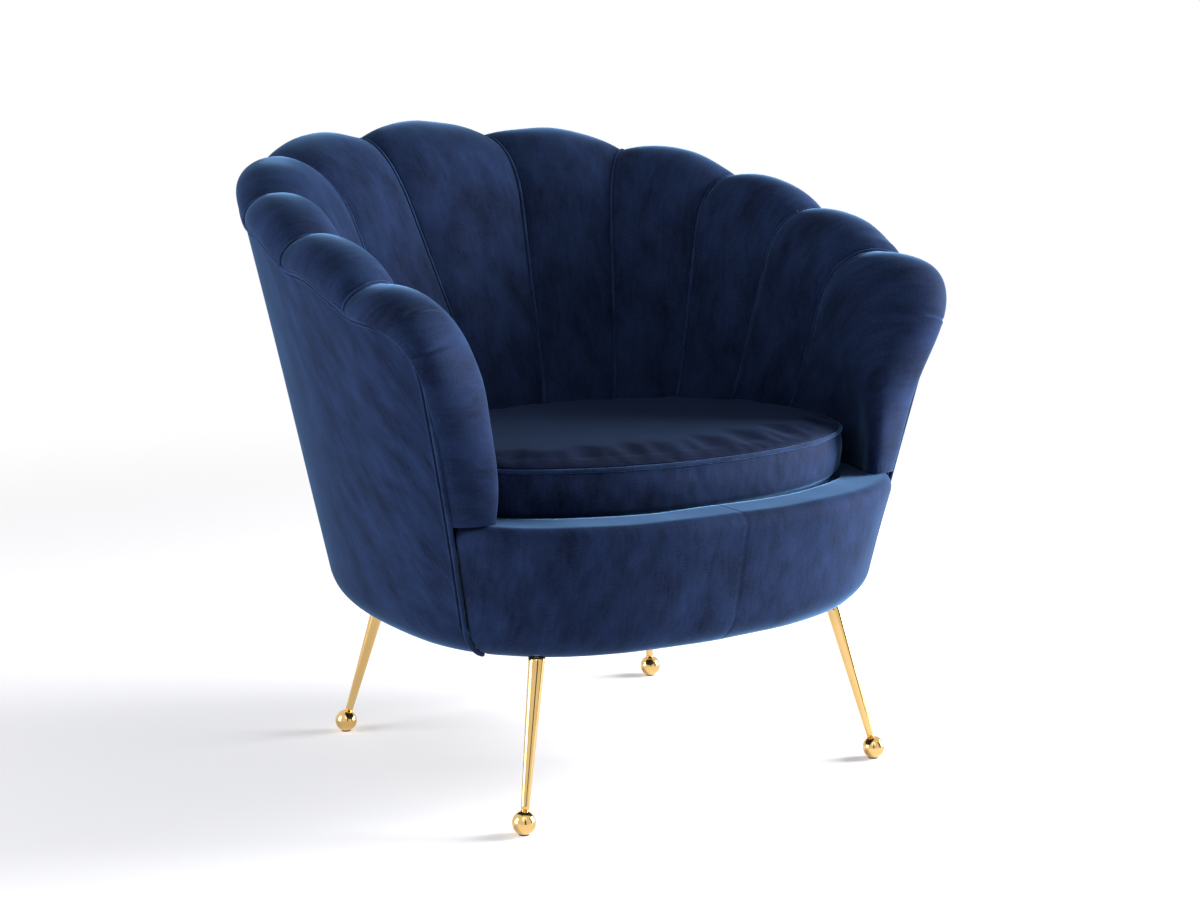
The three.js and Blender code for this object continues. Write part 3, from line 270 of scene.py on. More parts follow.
def dark_card(name, azimuth_degrees, reach, width, height):
    """A card that only reflections see."""
    turn = azimuth_degrees * degree
    ray = Vector((math.sin(turn), -math.cos(turn), 0))
    side = Vector((math.cos(turn), math.sin(turn), 0)) * width / 2
    top = Vector((0, 0, height))
    corners = [ray * reach - side, ray * reach + side, ray * reach + side + top, ray * reach - side + top]
    mesh = bpy.data.meshes.new(name)
    mesh.from_pydata([tuple(p) for p in corners], [], [(0, 1, 2, 3)])
    card = bpy.data.objects.new(name, mesh)
    material, nodes = new_material(name)
    black = nodes.add("ShaderNodeEmission", values=[(0, 0, 0, 1), 0.0])
    nodes.add("ShaderNodeOutputMaterial", values=[black])
    mesh.materials.append(material)
    bpy.context.scene.collection.objects.link(card)
    card.visible_camera = card.visible_diffuse = card.visible_shadow = False


dark_card("card_front", -22, 1.6, 0.30, 1.6)
dark_card("card_right", 34, 1.7, 0.34, 1.6)

# %% [markdown]
# ## Velvet
# Velvet is a short pile on a woven ground. Seen straight on it is deep and dark, and towards
# its edges the pile tips catch the light. The Sheen layer of the Principled shader does that,
# with constant values. What changes over the cloth is its tone: streaks where the pile was
# brushed along the cloth, the faint cross of the weave, and broad clouds where it was touched.
# All of it reads the piece's own UV map, in metres along and across the cloth. Piping has no
# such map, so its velvet reads Object coordinates.

# %% Velvet
velvet_dark = colour(14, 21, 40)
velvet_light = colour(41, 59, 99)
sheen_tint = colour(116, 164, 216)


def velvet_material(name, dark, light, sheen=0.85, cloth_map=True):
    material, nodes = new_material(name)
    if cloth_map:
        cloth = nodes.add("ShaderNodeUVMap", {"uv_map": "cloth"})
    else:
        cloth = nodes.add("ShaderNodeTexCoord", out="Object")
    streaks = nodes.noise(nodes.stretch(cloth, (190, 34, 60)), 3)
    threads = nodes.noise(nodes.stretch(cloth, (110, 420, 80)), 2)
    pile = nodes.noise(nodes.stretch(cloth, (620, 480, 550)), 1)
    clouds = nodes.noise(nodes.stretch(cloth, (24, 13, 16)), 4, 0.6)
    tone = streaks * 0.16 + threads * 0.1 + pile * 0.22 + clouds * 0.52
    tone = nodes.add("ShaderNodeMapRange", values=[tone, 0.33, 0.69, 0.0, 1.0])
    height = streaks * 0.3 + threads * 0.12 + pile * 0.6
    bump = nodes.add("ShaderNodeBump", values={"Strength": 0.2, "Distance": 0.0005, "Height": height})
    principled(nodes, {
        "Base Color": nodes.blend(dark, light, tone),
        "Roughness": 0.72 + tone * 0.14,
        "Specular IOR Level": 0.04,
        "Sheen Weight": sheen,
        "Sheen Roughness": 0.27,
        "Sheen Tint": sheen_tint,
        "Normal": bump,
    })
    return material


velvet = velvet_material("velvet", velvet_dark, velvet_light)
# The cushion top: less sheen for its flat pile, and a darker colour that is painted shade.
velvet_shaded_top = velvet_material("velvet_shaded_top", velvet_dark, colour(29, 40, 69), sheen=0.1)
# Piping and the deck border: a lighter velvet, painted highlight for the sheen on the round cord.
velvet_highlit = velvet_material("velvet_highlit", colour(19, 28, 51), colour(48, 69, 112), cloth_map=False)
print("velvets:", velvet.name, velvet_shaded_top.name, velvet_highlit.name)

# %% [markdown]
# ## Metals, timber and linings
# The legs are polished brass with faint polishing marks round them. The fasteners are zinc
# plated steel, the frame is bare ply and beech, and the deck and the bottom lining are a black
# non-woven cloth. These read Object coordinates, because their pieces sit in the frame.

# %% Metals, timber and linings
def metal_material(name, dark, light, low, high, grain):
    """A metal whose tone and roughness drift with a grain of noise."""
    material, nodes = new_material(name)
    place = nodes.add("ShaderNodeTexCoord", out="Object")
    marks = nodes.noise(nodes.stretch(place, grain), 3)
    smudges = nodes.noise(nodes.stretch(place, (14, 14, 14)), 2)
    bump = nodes.add("ShaderNodeBump", values={"Strength": 0.04, "Distance": 0.0002, "Height": marks})
    principled(nodes, {
        "Base Color": nodes.blend(dark, light, smudges),
        "Metallic": 1.0,
        "Roughness": low + (high - low) * (marks * 0.5 + smudges * 0.5),
        "Normal": bump,
    })
    return material


def timber_material():
    material, nodes = new_material("timber")
    place = nodes.add("ShaderNodeTexCoord", out="Object")
    rings = nodes.noise(nodes.stretch(place, (30, 30, 5)), 3)
    pores = nodes.noise(nodes.stretch(place, (420, 420, 26)), 2)
    tone = rings * 0.7 + pores * 0.3
    bump = nodes.add("ShaderNodeBump", values={"Strength": 0.15, "Distance": 0.0005, "Height": pores})
    principled(nodes, {
        "Base Color": nodes.blend(colour(160, 118, 72), colour(214, 178, 128), tone),
        "Roughness": 0.55 + pores * 0.25,
        "Normal": bump,
    })
    return material


def lining_material():
    material, nodes = new_material("black_lining")
    place = nodes.add("ShaderNodeTexCoord", out="Object")
    fibres = nodes.noise(nodes.stretch(place, (700, 700, 700)), 3)
    spots = nodes.stretch(place, (420, 420, 420))
    dots = nodes.add("ShaderNodeTexVoronoi", values={"Vector": spots, "Scale": 1.0})
    bump = nodes.add("ShaderNodeBump", values={"Strength": 0.3, "Distance": 0.0004, "Height": dots})
    principled(nodes, {
        "Base Color": nodes.blend(colour(20, 20, 23), colour(52, 52, 58), fibres),
        "Roughness": 0.8 + fibres * 0.15,
        "Normal": bump,
    })
    return material


def nylon_material():
    material, nodes = new_material("nylon")
    place = nodes.add("ShaderNodeTexCoord", out="Object")
    scuffs = nodes.noise(nodes.stretch(place, (300, 300, 300)), 3)
    principled(nodes, {
        "Base Color": nodes.blend(colour(26, 26, 28), colour(48, 48, 50), scuffs),
        "Roughness": 0.45 + scuffs * 0.2,
    })
    return material


brass = metal_material("brass", colour(206, 165, 100), colour(234, 201, 138), 0.07, 0.16, (40, 40, 900))
steel = metal_material("steel", colour(120, 124, 130), colour(178, 182, 188), 0.3, 0.5, (300, 300, 300))
timber = timber_material()
lining = lining_material()
nylon = nylon_material()
print("materials:", [m.name for m in bpy.data.materials])

# %% [markdown]
# ## The shell in numbers
# Every soft surface of this chair follows two flaring tubs: the outer shell, and the inner wall
# that the channels are sewn to. Both are superellipses whose halves differ. The functions take
# whole arrays of angles and heights, so that a pad of thousands of points is made in one call.
# Lengths here are in millimetres, and the one place that turns them into metres is `to_frame`.

# %% Shell and wall
underside_level, crest_level = 200, 780
base_half_width, crest_half_width, side_bow = 334, 471, -7.5
base_back_reach, crest_back_reach, back_bow = 361, 618, 15
base_front_reach, crest_front_reach = 254, 307
base_centre_y, crest_centre_y = -42, -102
base_back_exponent, crest_back_exponent, front_exponent = 2.5, 2.18, 2.5
base_front_angle, crest_front_angle = 117.6, 110.6
edge_height, edge_inset = 45, 50
flange_inset, flange_level = 62, 203
rim_back_level, rim_side_level, rim_front_level, rim_wave = 742, 631, 390, 10
arm_top_fall, arm_top_angle, arm_top_ease = 5, 14, 1.5
corner_length, wall_corner_length = 74, 158
wall_level, wall_blend = 430, 45
wall_half_width, wall_crest_half_width = 324, 338.1
wall_back_reach, wall_crest_back_reach = 292, 317
wall_front_reach, wall_crest_front_reach = 260, 474.6
wall_centre_y, wall_crest_centre_y = -92, 63.7
wall_back_exponent, wall_front_exponent = 2.2, 2
wall_drop, nose_drop, nose_drop_angle, nose_overhang = 41.5, 69.7, 15.1, 13.4
seat_seam_angles = [5.5, 22.7, 38, 51.9, 69.9]
wall_seam_angles = [13.8, 36.7, 58.9, 78.3, 94.8]
rim_seam_angles = [9.5, 39.6, 62, 78.6, 92.3]
nose_foot_angle = 99
rail_top_level, gap = 373.5, 0.3
rim_radius, seam_radius = 3, 2.7
front_foot_y = -253

foot_low, foot_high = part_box("ball_foot_front_left")
shift = np.array([0, (foot_low.y + foot_high.y) / 2 / mm - front_foot_y, 0])


def to_frame(points):
    """Points of the chair in millimetres, in metres in the frame."""
    return (np.asarray(points) + shift) * mm


def mix(low, high, share):
    return low + (high - low) * share


def clamp01(value):
    return np.clip(value, 0, 1)


def smooth(value):
    value = clamp01(value)
    return value * value * (3 - 2 * value)


def unit(vectors):
    return vectors / np.linalg.norm(vectors, axis=-1, keepdims=True)


def plan_point(angle, half_width, back_reach, front_reach, centre_y, back_exponent, fore_exponent, z):
    sine, cosine = np.sin(angle), np.cos(angle)
    exponent = np.where(cosine > 0, back_exponent, fore_exponent)
    reach = np.where(cosine > 0, back_reach, front_reach)
    x = half_width * np.sign(sine) * np.abs(sine) ** (2 / exponent)
    y = centre_y + reach * np.sign(cosine) * np.abs(cosine) ** (2 / exponent)
    return np.stack(np.broadcast_arrays(x, y, np.asarray(z, float)), axis=-1)


def edge_draw_in(z):
    share = clamp01((underside_level + edge_height - z) / edge_height)
    return edge_inset * (1 - np.sqrt(1 - share * share))


def shell_point(angle, z, inset=0, rounded=True):
    z = np.asarray(z, float)
    share = (z - underside_level) / (crest_level - underside_level)
    bow = 4 * share * (1 - share)
    draw_in = inset + (edge_draw_in(z) if rounded else 0)
    return plan_point(
        angle,
        mix(base_half_width, crest_half_width, share) + side_bow * bow - draw_in,
        mix(base_back_reach, crest_back_reach, share) + back_bow * bow - draw_in,
        mix(base_front_reach, crest_front_reach, share) - draw_in,
        mix(base_centre_y, crest_centre_y, share),
        mix(base_back_exponent, crest_back_exponent, share),
        front_exponent, z)


def wall_section(z):
    rise = np.asarray(z, float) - wall_level
    eased = np.where(rise >= wall_blend, rise, np.maximum(rise + wall_blend, 0) ** 2 / (4 * wall_blend))
    share = eased / (crest_level - wall_level)
    return (mix(wall_half_width, wall_crest_half_width, share),
            mix(wall_back_reach, wall_crest_back_reach, share),
            mix(wall_front_reach, wall_crest_front_reach, share),
            mix(wall_centre_y, wall_crest_centre_y, share))


def wall_point(angle, z):
    return plan_point(angle, *wall_section(z), wall_back_exponent, wall_front_exponent, z)


def surface_normal(surface, angle, z, turn=0.1 * degree, rise=0.8):
    along = surface(angle + turn, z) - surface(angle - turn, z)
    up = surface(angle, z + rise) - surface(angle, z - rise)
    return unit(np.cross(up, along))


def front_angle(z):
    share = (z - underside_level) / (crest_level - underside_level)
    return mix(base_front_angle, crest_front_angle, share) * degree


def move_along(surface, angle, z, distance, turn=0.1 * degree):
    step = np.linalg.norm(surface(angle + turn, z) - surface(angle - turn, z), axis=-1)
    return angle + distance * 2 * turn / step


def rim_level(angle):
    """Height of the rim before its scallops. Past the last seam it runs on almost level."""
    mean = (rim_back_level + rim_front_level) / 4 + rim_side_level / 2
    slope = (rim_back_level - rim_front_level) / 2
    bend = (rim_back_level + rim_front_level) / 4 - rim_side_level / 2
    turn = np.minimum(np.abs(angle), rim_seam_angles[-1] * degree)
    past = np.abs(angle) - turn
    ease = arm_top_ease * degree
    steep = slope * np.sin(turn) + 2 * bend * np.sin(2 * turn)
    arm_fall = steep * ease * (1 - np.exp(-past / ease)) + arm_top_fall * past / (arm_top_angle * degree)
    return mean + slope * np.cos(turn) + bend * np.cos(2 * turn) - arm_fall


def wall_front_angle(z):
    edge_y = shell_point(front_angle(z), z, 0, False)[..., 1] - nose_overhang
    _, _, reach, centre_y = wall_section(z)
    share = clamp01((centre_y - edge_y) / reach)
    return np.pi - np.arccos(share ** (wall_front_exponent / 2))


print("shell at the crest, mm:", np.round(shell_point(np.array([0, np.pi / 2]), crest_level)))

# %% [markdown]
# ## Edges that run over the back and down the arms
# The rim and the top of the inner wall both run from the back centre forward, round a corner
# and down the arm front. `Edge` keeps such a run as angles and heights with the length along
# it, so that seams, piping and pads can ask for the point at a distance.

# %% Edges
class Edge:
    def __init__(self, surface, level_at, front_at, foot_level, corner):
        corner_angle = math.pi / 2
        for _ in range(60):
            corner_angle = mix(corner_angle, front_at(level_at(corner_angle)), 0.5)
        corner_level = level_at(corner_angle)
        start_angle = move_along(surface, corner_angle, corner_level, -corner)
        self.corner_end = corner_level - corner
        top = np.linspace(0, start_angle, 181)[:-1]
        t = np.linspace(0, 1, 49)[:-1]
        start = (start_angle, level_at(start_angle))
        end = (front_at(self.corner_end), self.corner_end)
        bend = [(1 - t) ** 2 * start[i] + 2 * t * (1 - t) * (corner_angle, corner_level)[i] + t * t * end[i]
                for i in range(2)]
        down = np.linspace(self.corner_end, foot_level, 161)
        self.angles = np.concatenate([top, bend[0], front_at(down)])
        self.levels = np.concatenate([level_at(top), bend[1], down])
        self.top_count = len(top)
        points = surface(self.angles, self.levels)
        steps = np.linalg.norm(np.diff(points, axis=0), axis=1)
        self.runs = np.concatenate([[0], np.cumsum(steps)])
        self.length = self.runs[-1]

    def at(self, distance):
        return (np.interp(distance, self.runs, self.angles), np.interp(distance, self.runs, self.levels))

    def run_to(self, angle):
        near = int(np.argmax(self.angles >= angle))
        return np.interp(angle, self.angles[near - 1:near + 1], self.runs[near - 1:near + 1])

    def run_to_level(self, level):
        part = slice(self.top_count, None)
        return np.interp(-level, -self.levels[part], self.runs[part])


pad_foot_level = rail_top_level + gap
seam_spans = [0, *[index + 0.5 for index in range(len(rim_seam_angles))]]


def seam_stops(angles):
    return np.array([0, *angles]) * degree


def wall_top_level(angle):
    past = np.maximum(0, angle - wall_seam_angles[-1] * degree)
    rim_angle = np.interp(angle, seam_stops(wall_seam_angles), seam_stops(rim_seam_angles)) + past
    return rim_level(rim_angle) - mix(wall_drop, nose_drop, clamp01(past / (nose_drop_angle * degree)))


rim_edge = Edge(shell_point, rim_level, front_angle, underside_level + rim_radius, corner_length)
wall_edge = Edge(wall_point, wall_top_level, wall_front_angle, pad_foot_level, wall_corner_length)
nose_rim_start = rim_edge.run_to(rim_seam_angles[-1] * degree)
nose_rim_end = rim_edge.run_to_level(pad_foot_level)
nose_wall_start = wall_edge.run_to(wall_seam_angles[-1] * degree)
print("rim from back centre to foot, mm:", round(rim_edge.length))

# %% [markdown]
# ## The upholstered surface
# A point of the upholstery has two numbers. Its place counts the seams from the back centre:
# 0.5 is the first seam, 4.5 the last, and 5.5 the foot of the arm front. Its row climbs the
# wall from 0 to 1 and then rolls over to the rim from 1 to 2, on a cubic curve.

# %% Upholstered surface
last_seam = len(rim_seam_angles) - 0.5
arm_end = last_seam + 1
roll_rise, roll_side_rise, roll_over, roll_side_over = 146, 117, 71, 32
nose_top_reach, nose_foot_reach, nose_span_share = 26.4, 26.3, 0.73
roll_lean_share = 0.2
climb_probe = 0.02
calm_start, calm_spread = 3.0, 0.45
near_steps = (-1, -0.67, -0.33, 0, 0.33, 0.67, 1)
near_weights = (1, 2, 3, 4, 3, 2, 1)


def seam_mix(angles, place):
    return np.interp(place, seam_spans, seam_stops(angles))


def seam_place(angle):
    return np.interp(angle, seam_stops(rim_seam_angles), seam_spans)


def scallop_rise(place):
    return rim_wave * np.sin(np.pi * (place + 0.5)) ** 2


def anchors(place):
    """Foot, top of the wall and rim of the line at a place, each as angle and height."""
    near = np.minimum(place, last_seam)
    rim_angle = seam_mix(rim_seam_angles, near)
    share = place - last_seam
    on_nose = share > 0
    nose_top = wall_edge.at(mix(nose_wall_start, wall_edge.length, share))
    nose_rim = rim_edge.at(mix(nose_rim_start, nose_rim_end, share))
    foot = (np.where(on_nose, mix(seat_seam_angles[-1], nose_foot_angle, share) * degree,
                     seam_mix(seat_seam_angles, near)), pad_foot_level)
    top = (np.where(on_nose, nose_top[0], seam_mix(wall_seam_angles, near)),
           np.where(on_nose, nose_top[1], rim_level(rim_angle) - wall_drop))
    rim = (np.where(on_nose, nose_rim[0], rim_angle),
           np.where(on_nose, nose_rim[1], rim_level(rim_angle) + scallop_rise(near)))
    return foot, top, rim


def rim_outward(place, step=0.02):
    """Direction in which the upholstery leaves the rim."""
    ahead = shell_point(*anchors(np.minimum(arm_end, place + step))[2])
    behind = shell_point(*anchors(np.maximum(0, place - step))[2])
    behind[..., 0] = np.where(place < step, -ahead[..., 0], behind[..., 0])
    out = surface_normal(shell_point, *anchors(place)[2])
    away = unit(np.cross(ahead - behind, out))
    return unit(away + out * roll_lean_share)


def wall_spot(foot, top, share):
    """Angle and height on the wall, a share of the way from the foot of a line to its top."""
    return mix(foot[0], top[0], share), mix(foot[1], top[1], share)


def wall_climb(place):
    """Direction in which a line climbs the wall at its top."""
    foot, top, _ = anchors(place)
    return unit(wall_point(*wall_spot(foot, top, 1.0)) - wall_point(*wall_spot(foot, top, 1 - climb_probe)))


def calm_climb(place):
    """The climb, averaged over near lines toward the arms, where the wall's plan curve changes."""
    spread = calm_spread * smooth(place - calm_start)
    total = 0
    for step, weight in zip(near_steps, near_weights):
        total = total + weight * wall_climb(np.clip(place + step * spread, 0, arm_end))
    return unit(total)


def upholstery(place, row):
    place, row = np.broadcast_arrays(np.asarray(place, float), np.asarray(row, float))
    side = np.where(place < 0, -1.0, 1.0)
    far = np.abs(place)
    foot, top, rim = anchors(far)

    def on_wall(share):
        return wall_point(*wall_spot(foot, top, share))

    start, end = on_wall(1.0), shell_point(*rim)
    along = calm_climb(far)
    side_share = 1 - (1 - clamp01(far / last_seam)) ** 2
    nose_blend = smooth((far - last_seam) / nose_span_share)
    nose_reach = mix(nose_top_reach, nose_foot_reach, nose_blend)
    rise = mix(mix(roll_rise, roll_side_rise, side_share), nose_reach, nose_blend)
    over = mix(mix(roll_over, roll_side_over, side_share), nose_reach, nose_blend)
    t = np.clip(row - 1, 0, 1)[..., None]
    knee = start + along * rise[..., None]
    heel = end + rim_outward(far) * over[..., None]
    roll = ((1 - t) ** 3 * start + 3 * t * (1 - t) ** 2 * knee
            + 3 * t * t * (1 - t) * heel + t ** 3 * end)
    point = np.where((row <= 1)[..., None], on_wall(np.minimum(row, 1)), roll)
    point[..., 0] *= side
    return point


def upholstery_normal(place, row, step=0.01):
    """The wall's own normal up to its top, and above it the normal of the roll."""
    place, row = np.broadcast_arrays(np.asarray(place, float), np.asarray(row, float))
    foot, top, _ = anchors(np.abs(place))
    on_wall = -surface_normal(wall_point, *wall_spot(foot, top, np.minimum(row, 1)))
    on_wall[..., 0] *= np.where(place < 0, -1, 1)
    across = upholstery(place + step, row) - upholstery(place - step, row)
    climb = upholstery(place, np.minimum(row + step, 2)) - upholstery(place, row - step)
    return np.where((row < 1)[..., None], on_wall, unit(np.cross(across, climb)))


def last_row(place, step=0.02):
    """Row at which a pad stops, a radius short of the rim piping's middle."""
    speed = np.linalg.norm(upholstery(place, 2) - upholstery(place, 2 - step), axis=-1) / step
    return 2 - (rim_radius + gap) / speed


print("crest of the middle channel, mm:", round(float(upholstery(0.0, np.linspace(1, 2, 50))[:, 2].max())))

# %% [markdown]
# ## Meshes from grids
# Pads and covers are grids of points. A closed pad is a front grid and a back grid that share
# their border. The UV map is laid in metres: v is the length up the middle column, u the length
# across each row from that column, so the weave keeps its scale and follows the cloth.

# %% Mesh helpers
def grid_faces(columns, rows, offset=0, flip=False, ring=False):
    i, j = np.meshgrid(np.arange(columns if ring else columns - 1), np.arange(rows - 1), indexing="ij")
    a = offset + i * rows + j
    b = offset + ((i + 1) % columns) * rows + j
    faces = np.stack([a, b, b + 1, a + 1], axis=-1).reshape(-1, 4)
    return faces[:, ::-1] if flip else faces


def border_faces(columns, rows, back):
    """Quads that close the border between a front grid and a back grid that starts at `back`."""
    loop = [i * rows for i in range(columns)]
    loop += [(columns - 1) * rows + j for j in range(1, rows)]
    loop += [i * rows + rows - 1 for i in range(columns - 2, -1, -1)]
    loop += [j for j in range(rows - 2, 0, -1)]
    pairs = zip(loop, loop[1:] + loop[:1])
    return np.array([[a, a + back, b + back, b] for a, b in pairs])


def tube_faces(columns, rows):
    """Faces of a closed body made of rings: its sides and its two caps."""
    faces = [list(f) for f in grid_faces(columns, rows, ring=True)]
    faces.append([i * rows for i in range(columns)][::-1])
    faces.append([i * rows + rows - 1 for i in range(columns)])
    return faces


def cloth_uv(grid):
    """UV of a grid of points, measured along the cloth in the grid's own unit."""
    middle = grid.shape[0] // 2
    across = np.linalg.norm(np.diff(grid, axis=0), axis=-1)
    u = np.concatenate([np.zeros((1, grid.shape[1])), np.cumsum(across, axis=0)])
    u -= u[middle]
    climb = np.linalg.norm(np.diff(grid[middle], axis=0), axis=-1)
    v = np.broadcast_to(np.concatenate([[0], np.cumsum(climb)]), u.shape)
    return np.stack([u, v], axis=-1)


def make_piece(name, points, faces, uv=None, material=None, uv_shift=0.0):
    """A smooth-shaded object from points in metres, with its faces turned out."""
    mesh = bpy.data.meshes.new(name)
    mesh.from_pydata(points.reshape(-1, 3).tolist(), [], [list(map(int, f)) for f in faces])
    mesh.validate()
    if uv is not None:
        layer = mesh.uv_layers.new(name="cloth")
        index = np.zeros(len(mesh.loops), int)
        mesh.loops.foreach_get("vertex_index", index)
        layer.data.foreach_set("uv", (uv.reshape(-1, 2)[index] + uv_shift).ravel())
    mesh.polygons.foreach_set("use_smooth", [True] * len(mesh.polygons))
    piece = bpy.data.objects.new(name, mesh)
    bpy.context.scene.collection.objects.link(piece)
    turn_out(mesh)
    if material is not None:
        mesh.materials.append(material)
    return piece


def turn_out(mesh):
    """Turns a closed mesh so that its volume is positive."""
    work = bmesh.new()
    work.from_mesh(mesh)
    if work.calc_volume(signed=True) < 0:
        bmesh.ops.reverse_faces(work, faces=work.faces[:])
    work.to_mesh(mesh)
    work.free()


def waviness(seed, u, v, wavelength, count=7):
    """Smooth seeded noise from a few crossing waves, about -1 to 1."""
    random = np.random.default_rng(seed)
    total = 0
    for _ in range(count):
        turn, phase = random.uniform(0, 2 * np.pi, 2)
        size = 2 * np.pi / wavelength * random.uniform(0.6, 1.5)
        total = total + np.sin(size * (u * np.cos(turn) + v * np.sin(turn)) + phase)
    return total / math.sqrt(count * 2)


def dress(piece, body, slot, *nodes):
    """Lets a piece ride on its body and stand for its rigid nodes."""
    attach(piece, body)
    if nodes:
        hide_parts(*nodes)
    return piece


print("mesh helpers are ready")

# %% [markdown]
# ## Channel pads
# Each channel is a long pocket of velvet packed with wadding. It swells between its seams and
# dives into them, it is fullest where it rolls over the crest, and it thins out at the rim. The
# two outer channels wrap round the arm front, where the maker takes up the spare cloth in small
# pleats at the rim.

# %% Channel pads
pad_depth, pad_bulge, pad_crest_bulge, pad_top_bulge, pad_rim_bulge = 14, 9, 16.6, 14, 3
nose_bulge, nose_foot_share = 14.1, 0.03
nose_rise_share, nose_full_share, nose_fade_share = 0.53, 0.32, 0.41
nose_crest_rise_share, hump_height, hump_place_share, hump_spread_share = 0.3, 5.0, 0.2, 0.14
channel_count = 2 * len(rim_seam_angles) + 1
crown_power, crown_round = 2.4, 0.82
stuffing_wave, stuffing_height = 95, 0.9
pleat_ridge, pleat_ridge_place, pleat_ridge_width = 0.45, 1.6, 1.3
front_round, front_round_reach = 0.34, 0.7
pad_edge_overlap = 0.4
pucker_wave, pucker_height, pucker_reach = 17, 0.35, 9


def swell(across, row, nose):
    over = clamp01(row - 1)
    peak = over * (1 - over) ** 2 / (4 / 27)
    height = np.where(row <= 1, mix(pad_bulge, pad_top_bulge, clamp01(row) ** 2),
                      mix(mix(pad_top_bulge, pad_rim_bulge, over), pad_crest_bulge, peak))
    if not nose:
        return height * (1 - np.abs(2 * across - 1) ** crown_power) ** crown_round
    reach = mix(nose_rise_share, nose_crest_rise_share, smooth(row))
    rise = (1 - (1 - clamp01(across / reach)) ** crown_power) ** crown_round
    fullness = mix(1, nose_foot_share, smooth((across - nose_full_share) / nose_fade_share))
    hump = hump_height * np.exp(-((across - hump_place_share) / hump_spread_share) ** 2)
    hump = hump * smooth((row - 0.9) / 0.4) * smooth((2 - row) / 0.5)
    return rise * (fullness * mix(nose_bulge, height, clamp01(1 - row)) + hump)


# Pleats on the arm fronts: share along the nose, row where it starts at the rim and where it
# ends, depth, and width in millimetres.
left_pleats = [(0.222, 1.86, 1.58, 1.2, 4.0), (0.264, 1.72, 1.46, 1.8, 2.2), (0.368, 1.93, 1.48, 2.4, 2.2)]
right_pleats = [(0.392, 1.93, 1.6, 1.5, 2.0)]


def pleat_depth(pleats, across, row, length):
    total = np.zeros(np.broadcast(across, row).shape)
    for share, start, end, depth, width in pleats:
        along = clamp01((row - end) / (start - end))
        distance = (across - share) * length
        ridge = (distance - pleat_ridge_place * width) / (pleat_ridge_width * width)
        fold = np.exp(-(distance / width) ** 2) - pleat_ridge * np.exp(-ridge ** 2)
        total += depth * fold * smooth(along * 1.6) * smooth((start + 0.03 - row) / 0.05 + 1)
    return total


def rounded_front(place, row, nose_across):
    """Surface and normal of an arm front, averaged over near rows to round the wall's edge."""
    spread = front_round * smooth(1 - np.abs(row - 1) / front_round_reach) * smooth(nose_across / 0.25)
    surface, normal = 0, 0
    for step, weight in zip(near_steps, near_weights):
        near = np.clip(row + step * spread, 0, 2)
        surface = surface + weight / sum(near_weights) * upholstery(place, near)
        normal = normal + weight * upholstery_normal(place, near)
    return surface, unit(normal)


def channel_pad(index):
    start = index - channel_count / 2
    end = start + 1
    nose = "left" if index == 0 else "right" if index == channel_count - 1 else ""
    columns = 241 if nose else 57
    wall_rows, roll_rows = 61, 71
    share = np.linspace(0, 1, columns)[:, None]
    climb = np.concatenate([np.linspace(0, 1, wall_rows)[:-1], 1 + np.linspace(0, 1, roll_rows)])[None, :]
    edge = seam_radius - pad_edge_overlap

    def trim(seam, inner):
        row = np.minimum(climb[0], 1.97)
        seam_line = upholstery(seam, row)
        up = unit(seam_line - upholstery(seam, row - 0.02))
        span = upholstery(inner, row) - seam_line
        span = span - (span * up).sum(-1, keepdims=True) * up
        return edge / np.linalg.norm(span, axis=-1) * abs(inner - seam)

    low = 0 if nose == "left" else trim(start, mix(start, end, 0.05))[None, :]
    high = 0 if nose == "right" else trim(end, mix(end, start, 0.05))[None, :]
    across = mix(low, 1 - high, share)
    place = mix(start, end, across)
    row = np.where(climb <= 1, climb, 1 + (climb - 1) * (last_row(place) - 1))
    nose_across = 1 - across if nose == "left" else across
    height = swell(nose_across, row, bool(nose))
    base, normal = rounded_front(place, row, nose_across) if nose else (
        upholstery(place, row), upholstery_normal(place, row))
    uv = cloth_uv(base)
    to_seam = np.minimum(uv[..., 0] - uv[:1, :, 0], uv[-1:, :, 0] - uv[..., 0])
    ease = smooth(to_seam / 30) * smooth((2 - row) / 0.3)
    height = height + stuffing_height * ease * waviness(index, uv[..., 0], uv[..., 1], stuffing_wave)
    pucker = np.exp(-to_seam / pucker_reach) * smooth(to_seam / 3) * smooth((1.9 - row) / 0.3)
    height = height + pucker_height * pucker * waviness(90 + index, uv[..., 0] * 0.3, uv[..., 1], pucker_wave)
    if nose:
        length = nose_rim_end - nose_rim_start
        pleats = left_pleats if nose == "left" else right_pleats
        height = height - pleat_depth(pleats, nose_across, row, length)
    front = base + normal * height[..., None]
    back = base - normal * pad_depth
    for grid in (front, back):
        grid[..., 2] = np.maximum(grid[..., 2], pad_foot_level)
    rows = climb.shape[1]
    total = columns * rows
    faces = np.concatenate([
        grid_faces(columns, rows), grid_faces(columns, rows, total, flip=True),
        border_faces(columns, rows, total)])
    points = to_frame(np.concatenate([front.reshape(-1, 3), back.reshape(-1, 3)]))
    uvs = np.concatenate([uv.reshape(-1, 2), uv.reshape(-1, 2)]) * mm
    name = f"channel_pad_{index + 1:02d}"
    piece = make_piece(name, points, faces, uvs, velvet, uv_shift=0.37 * index)
    dress(piece, "chair", "velvet", f"channel_{index + 1:02d}")
    return piece


pads = [channel_pad(index) for index in range(channel_count)]
print("channel pads:", len(pads), "faces:", sum(len(p.data.polygons) for p in pads))

# %% [markdown]
# ## Piping
# Piping is a cord inside a strip of velvet, sewn into the seam. Its line is a row of points on
# the surface, and a geometry tree sweeps a round section along it. One tree serves every run of
# piping and the seat springs too, because its radius and its number of sides are inputs.

# %% A tree that sweeps a round section along a path
def add_input(tree, name, kind, value=None):
    socket = tree.interface.new_socket(name, in_out="INPUT", socket_type=kind)
    if value is not None:
        socket.default_value = value
    return socket


